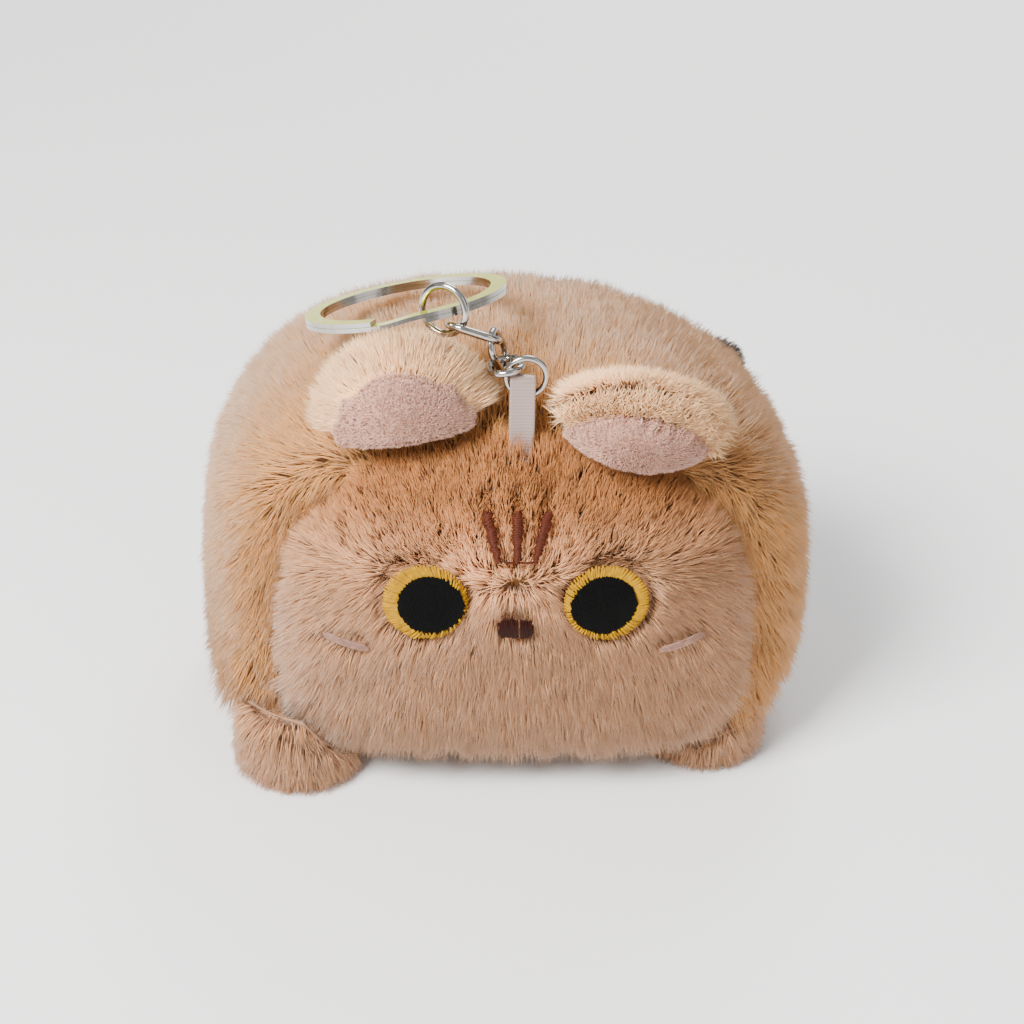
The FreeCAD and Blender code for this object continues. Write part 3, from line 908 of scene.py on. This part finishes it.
def outside_body(points):
    """1 outside the body's skin, 0 inside it."""
    skin = bpy.data.objects["plush_skin"]
    corners = [vertex.co for vertex in skin.data.vertices]
    tree = BVHTree.FromPolygons(corners, [list(face.vertices) for face in skin.data.polygons])
    result = np.ones(len(points))
    for i, point in enumerate(points):
        near, normal, _, _ = tree.find_nearest(Vector(point))
        if (Vector(point) - near).dot(normal) < -0.3 * MM:
            result[i] = 0.0
    return result


def lift_off_floor(piece, least):
    points = points_of(piece)
    points[:, 2] = np.maximum(points[:, 2], least)
    set_points(piece, points)


FOOT_SHARE = {"front": 0.035, "rear": 0.015}


def build_feet():
    size = sizes()
    rng = np.random.default_rng(23)
    material = fur_material("Foot fur")
    backing = backing_material("Foot backing", colours().cheek)
    for node in FEET:
        pad = pad_from(node + "_pad", (node,), 1.2 * MM, 2.6 * MM, 0.7 * MM)
        finish_pad(pad, backing, "plush", node)
        centre = node_centre(node)
        count = int(size.strands * FOOT_SHARE[node.split("_")[0]])
        place, facing = surface_samples(pad, count, rng, lambda c: outside_body(c) + SELDOM)
        way = vector_field(place[:, 0] - centre.x, place[:, 1] - centre.y, -9 * MM)
        pile = np.full(count, size.foot_pile)
        lean = np.full(count, 0.88)
        tone = strand_tone(np.array(colours().cheek)[None] * 1.03 + np.zeros_like(place), rng)
        fur = grow_fur(node + "_fur", place, facing, way, lean, pile, size.strand_width,
                       tone, rng, 0.35, 0.12)
        lift_off_floor(fur, FLOOR_GAP)
        finish_fur(fur, material, "plush")


def lining_mesh(name, node, bulge):
    """The ear's lining as an even mesh, filled out in the middle of its front."""
    data = frame["nodes"][node].data.copy()
    data.name = name
    lining = bpy.data.objects.new(name, data)
    bpy.context.scene.collection.objects.link(lining)
    remesh(lining, 0.4 * MM)
    relax(lining, 3)
    points = points_of(lining)
    normals = normals_of(lining)
    centre = points.mean(axis=0)
    front = ring_axis(node)
    front = np.array(front) * (-1.0 if front[1] > 0 else 1.0)
    span = np.linalg.norm(points - centre, axis=1)
    dome = np.clip(1.0 - (span / (span.max() * 1.02)) ** 2, 0.0, 1.0)
    facing_front = smooth_step(normals @ front, -0.2, 0.5)
    points[:, 0] = centre[0] + (points[:, 0] - centre[0]) * LINING_SPREAD
    set_points(lining, points + front * (dome * facing_front * bulge)[:, None])
    relax(lining, 3)
    lining.data.polygons.foreach_set("use_smooth", [True] * len(lining.data.polygons))
    return lining


# The lining is this much wider than its CAD node, and this much fuller in the middle.
LINING_SPREAD = 1.08
LINING_BULGE = {"left": 1.2 * MM, "right": 3.0 * MM}
# Strands on one ear's pile, and again on its nap.
EAR_SHARE = 0.05
# How far from the lining the ear's pile begins.
LINING_EDGE = 0.9 * MM
# Which way the pile lies at the rim: back over the upright ear, down over the flopped one.
EAR_COMB = {"left": (0.0, 9 * MM, 3 * MM), "right": (0.0, -12 * MM, -3 * MM)}


def ear_root(side):
    return np.array(Vector(JOINTS[side + "_ear_flop"]["pos_m"]))


def ear_fur(side, pad, rng):
    """Pile over the ear's back and rim, none on the lining."""
    size = sizes()
    lining = cad_surface((side + "_ear_lining",))
    count = int(size.strands * EAR_SHARE)

    def off_lining(centres):
        return (nearest_gap(lining, centres) > LINING_EDGE) + SELDOM

    place, facing = surface_samples(pad, count, rng, off_lining)
    way = place - ear_root(side) + np.array(EAR_COMB[side])
    rim = smooth_step(nearest_gap(lining, place), LINING_EDGE, 2.6 * MM)
    pile = np.full(count, size.ear_pile) * (0.55 + 0.45 * rim)
    lean = np.full(count, 0.92)
    tone = strand_tone(np.array(colours().ear)[None] + np.zeros_like(place), rng, 0.85, 1.06)
    return grow_fur(side + "_ear_fur", place, facing, way, lean, pile, size.strand_width, tone, rng, 0.3, 0.1)


def ear_nap(side, lining, rng):
    """The short nap that stands on the velour."""
    size = sizes()
    count = int(size.strands * EAR_SHARE)
    place, facing = surface_samples(lining, count, rng)
    tone = strand_tone(np.array(colours().velour)[None] * rng.normal(1.0, 0.06, (count, 1)), rng, 0.7, 1.2)
    nap = np.full(count, 0.95 * MM)
    lean = np.full(count, 0.7)
    return grow_fur(side + "_ear_nap", place, facing, place - ear_root(side), lean, nap,
                    size.strand_width * 0.6, tone, rng, 0.35)


def build_ears():
    rng = np.random.default_rng(37)
    fur_finish = fur_material("Ear fur")
    nap_finish = fur_material("Velour nap")
    velour = velour_material("Ear velour", colours().velour)
    backing = backing_material("Ear backing", shade(colours().ear, 1.25))
    for side in ("left", "right"):
        body, back, front = side + "_ear", side + "_ear_back", side + "_ear_lining"
        pad = pad_from(side + "_ear_pad", (back, front), 0.8 * MM, 1.5 * MM, 0.4 * MM)
        finish_pad(pad, backing, body, back)
        lining = lining_mesh(side + "_ear_velour", front, LINING_BULGE[side])
        finish_pad(lining, velour, body, front)
        finish_fur(ear_fur(side, pad, rng), fur_finish, body)
        finish_fur(ear_nap(side, lining, rng), nap_finish, body)


# Share of the strands and length of the pile on the tail and on its dark end.
TAIL_SHARE = {"tail": 0.028, "tail_tip": 0.02}
TAIL_PILE = {"tail": 4.2 * MM, "tail_tip": 4.0 * MM}


def build_tail():
    size = sizes()
    rng = np.random.default_rng(41)
    tip_low, tip_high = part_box("tail_tip")
    end = np.array((tip_high.x + 8 * MM, tip_low.y, tip_high.z + 6 * MM))
    for node, rgb, slot in (("tail", colours().cheek, "plush_fur"),
                            ("tail_tip", colours().tail_tip, "dark_fur")):
        pad = pad_from(node + "_pad", (node,), 1.0 * MM, 1.5 * MM, 0.5 * MM)
        finish_pad(pad, backing_material(node + " backing", rgb), "tail", node)
        count = int(size.strands * TAIL_SHARE[node])
        place, facing = surface_samples(pad, count, rng)
        tone = strand_tone(np.array(rgb)[None] + np.zeros_like(place), rng, 0.55, 1.2)
        pile = np.full(count, TAIL_PILE[node])
        lean = np.full(count, 0.85)
        fur = grow_fur(node + "_fur", place, facing, end - place, lean, pile, size.strand_width, tone, rng)
        finish_fur(fur, fur_material(node + " fur"), "tail")


# --- Embroidery -----------------------------------------------------------------------------

def stitch_template():
    """A tube one unit long with pinched ends, for one stitch of thread."""
    def add():
        bpy.ops.mesh.primitive_cylinder_add(vertices=6, radius=1.0, depth=1.0, location=(0.0, 0.0, 0.5))
        bpy.ops.object.transform_apply(location=True)

    def ring(height):
        def cut():
            bpy.ops.mesh.bisect(plane_co=(0.0, 0.0, height), plane_no=(0.0, 0.0, 1.0))
        return cut

    points, faces = template(add, *[ring(h) for h in (0.06, 0.25, 0.5, 0.75, 0.94)])
    ends = (points[:, 2] < 0.03) | (points[:, 2] > 0.97)
    points[ends, :2] *= 0.45
    return points, faces


# The stitch's template, kept once it is made.
STITCH = {}


def on_face(points, nodes):
    """Points over the face moved back onto the surface of some nodes."""
    tree = cad_surface(nodes)
    result = np.array(points, dtype=float)
    for i, point in enumerate(points):
        start = Vector((point[0], BODY_LOW.y - 30 * MM, point[2]))
        hit = tree.ray_cast(start, Vector((0.0, 1.0, 0.0)))
        result[i, 1] = hit[0].y if hit[0] is not None else tree.find_nearest(Vector(point))[0].y
    return result


def stitches(name, starts, ends, radius, rise, sink=0.0):
    """Thread stitches between pairs of points that lie on the face, each bowed outwards a little."""
    if not STITCH:
        STITCH["points"], STITCH["faces"] = stitch_template()
    base, faces = STITCH["points"], STITCH["faces"]
    count = len(starts)
    out = np.array([0.0, -1.0, 0.0])
    along = unit(ends - starts)
    side = unit(np.cross(along, out[None]))
    lift = np.cross(side, along)
    heights = base[:, 2][None, :, None]
    middle = starts[:, None] * (1 - heights) + ends[:, None] * heights
    bow = rise[:, None, None] * (1 - (2 * heights - 1) ** 2) - sink
    points = middle + out * bow
    points = points + side[:, None] * base[:, 0][None, :, None] * radius
    points = points + lift[:, None] * base[:, 1][None, :, None] * radius * 0.9
    return mesh_piece(name, points.reshape(-1, 3), copies(base, faces, count))


def row_stitches(centre, half_width, half_height, lean, step, rng, taper=0.0):
    """Ends of stitches laid across a bar from its bottom to its top."""
    count = max(3, int(round(2 * half_height / step)))
    level = (np.arange(count) + 0.5) / count * 2 - 1
    width = half_width * np.sqrt(np.clip(1.04 - np.abs(level) ** 5, 0.05, 1.0))
    width *= 1.0 - taper * (1 - level) / 2
    jitter = rng.normal(0.0, 0.045 * MM, (count, 2)) + rng.choice([0.0, 0.16 * MM], (count, 2))
    left = -width - jitter[:, 0]
    right = width + jitter[:, 1]
    tilt = 0.35 * step

    def turned(u, v):
        c, s = math.cos(lean), math.sin(lean)
        return vector_field(centre.x + u * c + v * s, centre.y, centre.z - u * s + v * c)

    v = level * half_height
    return turned(left, v - tilt), turned(right, v + tilt)


def finish_stitches(piece, material, slot, *nodes):
    dress(piece, material)
    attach(piece, "plush")
    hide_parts(*nodes)


def circle_of(node):
    """Centre and radius of a round motif."""
    low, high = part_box(node)
    return (low + high) / 2, (high.x - low.x) / 2


def eye_centre(side):
    return circle_of(side + "_eye_ring")


def pupil_circle(side):
    return circle_of(side + "_eye_pupil")


def round_points(centre, depth, u, v):
    """Points at (u, v) from a centre, at one depth in front of the face."""
    return vector_field(centre.x + u, depth, centre.z + v)


def eye_rim(side, rng):
    """Yellow stitches that run from the rim in under the pupil."""
    thread = sizes().thread_radius
    nodes = (side + "_eye_ring", side + "_eye_pupil")
    centre, radius = eye_centre(side)
    pupil_centre, pupil_radius = pupil_circle(side)
    count = int(2 * math.pi * radius / (1.55 * thread))
    angle = (np.arange(count) + rng.normal(0.0, 0.2, count)) / count * 2 * math.pi
    outer = radius * (1.0 + rng.normal(0.0, 0.012, count)) + (np.arange(count) % 2) * 0.22 * MM
    inner = pupil_radius - 0.45 * MM
    start = round_points(centre, centre.y, outer * np.cos(angle), outer * np.sin(angle))
    end = round_points(pupil_centre, centre.y, inner * np.cos(angle), inner * np.sin(angle))
    return stitches(side + "_eye_rim", on_face(start, nodes), on_face(end, nodes), thread,
                    np.full(count, 0.28 * MM))


PUPIL_TURN = math.radians(18.0)


def pupil_disc(side, rng):
    """Parallel black stitches, side by side over the pupil, with uneven ends."""
    thread = sizes().thread_radius
    nodes = (side + "_eye_ring", side + "_eye_pupil")
    depth = eye_centre(side)[0].y
    centre, radius = pupil_circle(side)
    step = 1.5 * thread
    rows = int(2 * radius / step)
    u = (np.arange(rows) + 0.5) * step - radius
    half = np.sqrt(np.maximum(radius ** 2 - u ** 2, (0.5 * MM) ** 2))
    jag = rng.normal(0.0, 0.12 * MM, (rows, 2)) + (np.arange(rows) % 2)[:, None] * 0.25 * MM
    c, s = math.cos(PUPIL_TURN), math.sin(PUPIL_TURN)
    low, high = -half - jag[:, 0], half + jag[:, 1]
    start = round_points(centre, depth, u * c - low * s, u * s + low * c)
    end = round_points(centre, depth, u * c - high * s, u * s + high * c)
    return stitches(side + "_pupil", on_face(start, nodes), on_face(end, nodes), thread,
                    np.full(rows, 0.5 * MM), -0.12 * MM)


def build_eyes():
    rng = np.random.default_rng(53)
    yellow = thread_material("Yellow rayon", colours().yellow, 0.5)
    black = thread_material("Black rayon", colours().black, 0.8)
    for side in ("left", "right"):
        finish_stitches(eye_rim(side, rng), yellow, "yellow_thread", side + "_eye_ring")
        finish_stitches(pupil_disc(side, rng), black, "black_thread", side + "_eye_pupil")


def split_nose(start, end, centre, rng):
    """Upright stitches with ragged tops, and one left out beside the middle."""
    keep = np.abs(start[:, 0] - centre.x - 0.45 * MM) > 0.14 * MM
    start, end = start[keep], end[keep]
    top = start[:, 2] > end[:, 2]
    ragged = np.abs(rng.normal(0.0, 0.35 * MM, len(start)))
    start[:, 2] += np.where(top, ragged, 0.0)
    end[:, 2] += np.where(top, 0.0, ragged)
    return start, end


def brow_link(radius):
    """The running thread that joins the lower ends of the brow stripes."""
    foot_of = []
    for centre, _, half_height, lean in bar_motifs()[:3]:
        across, down = math.sin(lean) * half_height, math.cos(lean) * half_height
        foot_of.append((centre.x - across, centre.y, centre.z - down))
    start, end = np.array(foot_of[:2]), np.array(foot_of[1:])
    face = ("middle_brow_stripe", "face_panel")
    return stitches("brow_link_thread", on_face(start, face), on_face(end, face), radius,
                    np.full(2, 0.2 * MM), -0.1 * MM)


def build_face_marks():
    size = sizes()
    rng = np.random.default_rng(59)
    step = 1.5 * size.thread_radius
    names = ("left_brow_stripe", "middle_brow_stripe", "right_brow_stripe", "nose", "left_whisker",
             "right_whisker")
    kinds = {"rust_thread": thread_material("Rust rayon", colours().rust, 0.4),
             "brown_thread": thread_material("Brown rayon", colours().brown, 0.4),
             "mauve_thread": thread_material("Mauve rayon", colours().mauve, 0.5)}
    for name, (centre, half_width, half_height, lean) in zip(names, bar_motifs()):
        slot = "rust_thread"
        taper = 0.45
        if name == "nose":
            slot, taper = "brown_thread", 0.0
            half_width, half_height, lean = half_height, half_width, math.pi / 2
        if name.endswith("whisker"):
            slot, taper = "mauve_thread", 0.0
        start, end = row_stitches(centre, half_width, half_height, lean, step, rng, taper)
        if name == "nose":
            start, end = split_nose(start, end, centre, rng)
        piece = stitches(name + "_thread", on_face(start, (name, "face_panel")),
                         on_face(end, (name, "face_panel")), size.thread_radius,
                         np.full(len(start), 0.45 * MM), -0.25 * MM)
        finish_stitches(piece, kinds[slot], slot, name)
    finish_stitches(brow_link(size.thread_radius), kinds["rust_thread"], "rust_thread")


# --- Ribbon and metal -----------------------------------------------------------------------

# Points along each leg of the ribbon, round its bend and across its width.
RIBBON_LEG, RIBBON_BEND, RIBBON_ACROSS = 26, 15, 13
# How far the ribbon runs down inside the seam.
RIBBON_TUCK = 4.0 * MM


def ribbon_path(low, high, half_gap):
    """The ribbon's middle line: depth from its own centre, and height, up one leg and down the other."""
    bend_z = high.z - (high.y - low.y) / 2
    bottom = low.z - RIBBON_TUCK
    down = np.linspace(0.0, 1.0, RIBBON_LEG)
    turn = np.linspace(0.0, math.pi, RIBBON_BEND)[1:-1]
    front, back = np.full(RIBBON_LEG, -half_gap), np.full(RIBBON_LEG, half_gap)
    depth = np.concatenate([front, -half_gap * np.cos(turn), back])
    height = np.concatenate([bottom + (bend_z - bottom) * down, bend_z + half_gap * np.sin(turn),
                             bend_z + (bottom - bend_z) * down])
    return depth, height, bottom


def build_ribbon():
    """One strip of satin: up from the seam, round the ring's wire and back down."""
    size = sizes()
    low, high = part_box("ribbon_loop")
    centre = (low + high) / 2
    half_width = (high.x - low.x) / 2
    depth, path_z, bottom = ribbon_path(low, high, (high.y - low.y) / 2 - size.ribbon_thickness / 2)
    across = np.linspace(-1.0, 1.0, RIBBON_ACROSS)[None]
    share = ((path_z - bottom) / (high.z - bottom))[:, None]
    pinch = 1.0 - 0.10 * smooth_step(-share, -0.45, -0.1)
    curl = across ** 2 * 0.12 * MM * np.sin(share * math.pi)
    points = np.zeros((len(depth), RIBBON_ACROSS, 3))
    points[:, :, 0] = centre.x + across * half_width * pinch
    points[:, :, 1] = centre.y + depth[:, None]
    points[:, :, 1] += np.sign(points[:, :, 1] - centre.y) * curl
    points[:, :, 2] = path_z[:, None] - across * 0.28 * MM * smooth_step(share, 0.6, 1.0)
    number = np.arange(len(depth) * RIBBON_ACROSS).reshape(-1, RIBBON_ACROSS)
    corners = [number[:-1, :-1], number[:-1, 1:], number[1:, 1:], number[1:, :-1]]
    ribbon = mesh_piece("satin_ribbon", points.reshape(-1, 3), np.stack(corners, axis=-1).reshape(-1, 4))
    modifier = ribbon.modifiers.new("Thickness", "SOLIDIFY")
    modifier.thickness = size.ribbon_thickness
    modifier.offset = 0.0
    activate(ribbon)
    bpy.ops.object.modifier_apply(modifier=modifier.name)
    dress(ribbon, satin_material("White satin", colours().ribbon))
    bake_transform(ribbon)
    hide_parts("ribbon_loop", "ribbon_ends")


def ring_axis(node):
    """The direction a flat ring faces: the one along which it is thinnest."""
    points = np.array([v.co for v in frame["nodes"][node].data.vertices])
    _, _, rows = np.linalg.svd(points - points.mean(axis=0), full_matrices=False)
    return tuple(float(v) for v in rows[-1])


def build_metal():
    tint = colours()
    nickel = nickel_material("Nickel", tint.nickel)
    for node in METAL:
        frame["nodes"][node].material_slots[0].material = nickel
    plated = nickel_material("Split ring plating", tint.nickel, tint.pale_gold, ring_axis("split_ring"))
    frame["nodes"]["split_ring"].material_slots[0].material = plated


# --- Stage ----------------------------------------------------------------------------------

def area_light(name, place, target, width, power, tint):
    data = bpy.data.lights.new(name, "AREA")
    data.shape = "SQUARE"
    data.size = width
    data.energy = power
    data.color = tint
    light = bpy.data.objects.new(name, data)
    light.location = place
    light.rotation_euler = (Vector(place) - Vector(target)).to_track_quat("Z", "Y").to_euler()
    bpy.context.scene.collection.objects.link(light)


def build_stage():
    """Pale floor, soft lights, dark cards and the camera."""
    deselect()
    bpy.ops.mesh.primitive_plane_add(size=4.0, location=(0.0, 0.0, -0.02 * MM))
    floor = named("floor")
    dress(floor, stage_material("Pale floor", (0.96, 0.96, 0.96)))
    target = (0.0, 0.0, 35 * MM)
    area_light("key", (-0.5, -0.5, 0.72), target, 0.42, 27.0, (1.0, 0.985, 0.96))
    area_light("fill", (0.7, -0.5, 0.45), target, 0.7, 1.6, (1.0, 1.0, 1.0))
    area_light("rim", (0.1, 0.75, 0.7), target, 0.6, 9.0, (1.0, 1.0, 1.0))
    dark = stage_material("Dark card", (0.02, 0.02, 0.02))
    for number, place in enumerate(((0.5, -0.05, 0.3), (-0.15, 0.5, 0.42), (-0.55, 0.2, 0.25))):
        bpy.ops.mesh.primitive_plane_add(size=0.32, location=place)
        card = named(f"dark_card_{number}")
        card.rotation_euler = (Vector(place) - Vector(target)).to_track_quat("Z", "Y").to_euler()
        dress(card, dark)
    world = bpy.context.scene.world or bpy.data.worlds.new("World")
    bpy.context.scene.world = world
    world.use_nodes = True
    world.node_tree.nodes["Background"].inputs["Color"].default_value = (1.0, 1.0, 1.0, 1.0)
    world.node_tree.nodes["Background"].inputs["Strength"].default_value = 0.62
    build_camera()


CAMERA_DISTANCE = 330 * MM
CAMERA_ELEVATION = math.radians(30.3)
CAMERA_TURN = math.radians(-2.0)
CAMERA_ROLL = math.radians(1.2)
CAMERA_LENS = 71.93
CAMERA_SHIFT = (0.002, 0.0117)
CAMERA_TARGET = Vector((1.65 * MM, -4.45 * MM, 30 * MM))


def build_camera():
    data = bpy.data.cameras.new("camera")
    data.lens = CAMERA_LENS
    data.sensor_width = 36.0
    data.shift_x, data.shift_y = CAMERA_SHIFT
    data.clip_start = 0.01
    camera = bpy.data.objects.new("camera", data)
    way = Vector((math.cos(CAMERA_ELEVATION) * math.sin(CAMERA_TURN),
                  -math.cos(CAMERA_ELEVATION) * math.cos(CAMERA_TURN), math.sin(CAMERA_ELEVATION)))
    camera.location = CAMERA_TARGET + way * CAMERA_DISTANCE
    facing = way.to_track_quat("Z", "Y").to_matrix().to_4x4() @ Matrix.Rotation(CAMERA_ROLL, 4, "Z")
    camera.rotation_euler = facing.to_euler()
    bpy.context.scene.collection.objects.link(camera)
    bpy.context.scene.camera = camera


# --- Operators ------------------------------------------------------------------------------

class PLUSH_OT_body(bpy.types.Operator):
    """Sew the body's skin and fill it"""
    bl_idname = "plush.body"
    bl_label = "Body"

    def execute(self, context):
        build_body()
        return {"FINISHED"}


class PLUSH_OT_body_fur(bpy.types.Operator):
    """Grow the fur on the body"""
    bl_idname = "plush.body_fur"
    bl_label = "Body fur"

    def execute(self, context):
        build_body_fur()
        return {"FINISHED"}


class PLUSH_OT_feet(bpy.types.Operator):
    """Make the four furry feet"""
    bl_idname = "plush.feet"
    bl_label = "Feet"

    def execute(self, context):
        build_feet()
        return {"FINISHED"}


class PLUSH_OT_ears(bpy.types.Operator):
    """Make both ears, furry behind and smooth in front"""
    bl_idname = "plush.ears"
    bl_label = "Ears"

    def execute(self, context):
        build_ears()
        return {"FINISHED"}


class PLUSH_OT_tail(bpy.types.Operator):
    """Make the tail with its dark end"""
    bl_idname = "plush.tail"
    bl_label = "Tail"

    def execute(self, context):
        build_tail()
        return {"FINISHED"}


class PLUSH_OT_eyes(bpy.types.Operator):
    """Embroider both eyes"""
    bl_idname = "plush.eyes"
    bl_label = "Eyes"

    def execute(self, context):
        build_eyes()
        return {"FINISHED"}


class PLUSH_OT_face_marks(bpy.types.Operator):
    """Embroider the brow stripes, the nose and the whisker bars"""
    bl_idname = "plush.face_marks"
    bl_label = "Face marks"

    def execute(self, context):
        build_face_marks()
        return {"FINISHED"}


class PLUSH_OT_ribbon(bpy.types.Operator):
    """Fold the satin ribbon"""
    bl_idname = "plush.ribbon"
    bl_label = "Ribbon"

    def execute(self, context):
        build_ribbon()
        return {"FINISHED"}


class PLUSH_OT_metal(bpy.types.Operator):
    """Plate the chain and the split ring"""
    bl_idname = "plush.metal"
    bl_label = "Chain and ring"

    def execute(self, context):
        build_metal()
        return {"FINISHED"}


class PLUSH_OT_stage(bpy.types.Operator):
    """Set the floor, the lights and the camera"""
    bl_idname = "plush.stage"
    bl_label = "Stage"

    def execute(self, context):
        build_stage()
        return {"FINISHED"}


OPERATORS = (PLUSH_OT_body, PLUSH_OT_body_fur, PLUSH_OT_feet, PLUSH_OT_ears, PLUSH_OT_tail, PLUSH_OT_eyes,
             PLUSH_OT_face_marks, PLUSH_OT_ribbon, PLUSH_OT_metal, PLUSH_OT_stage)


class PLUSH_PT_build(bpy.types.Panel):
    """The plush keychain's pieces, in the order they are made"""
    bl_label = "Plush keychain"
    bl_idname = "PLUSH_PT_build"
    bl_space_type = "VIEW_3D"
    bl_region_type = "UI"
    bl_category = "Plush"

    def draw(self, context):
        for group in (context.scene.plush_sizes, context.scene.plush_colours):
            column = self.layout.column(align=True)
            for name in group.__annotations__:
                column.prop(group, name)
        column = self.layout.column(align=True)
        for operator in OPERATORS:
            column.operator(operator.bl_idname)


CLASSES = (PlushSizes, PlushColours, *OPERATORS, PLUSH_PT_build)


def register():
    for kind in CLASSES:
        bpy.utils.register_class(kind)
    bpy.types.Scene.plush_sizes = PointerProperty(type=PlushSizes)
    bpy.types.Scene.plush_colours = PointerProperty(type=PlushColours)


def unregister():
    del bpy.types.Scene.plush_colours
    del bpy.types.Scene.plush_sizes
    for kind in reversed(CLASSES):
        bpy.utils.unregister_class(kind)


def main():
    register()
    bpy.ops.plush.body()
    bpy.ops.plush.body_fur()
    bpy.ops.plush.feet()
    bpy.ops.plush.ears()
    bpy.ops.plush.tail()
    bpy.ops.plush.eyes()
    bpy.ops.plush.face_marks()
    bpy.ops.plush.ribbon()
    bpy.ops.plush.metal()
    bpy.ops.plush.stage()


if __name__ == "__main__":
    main()
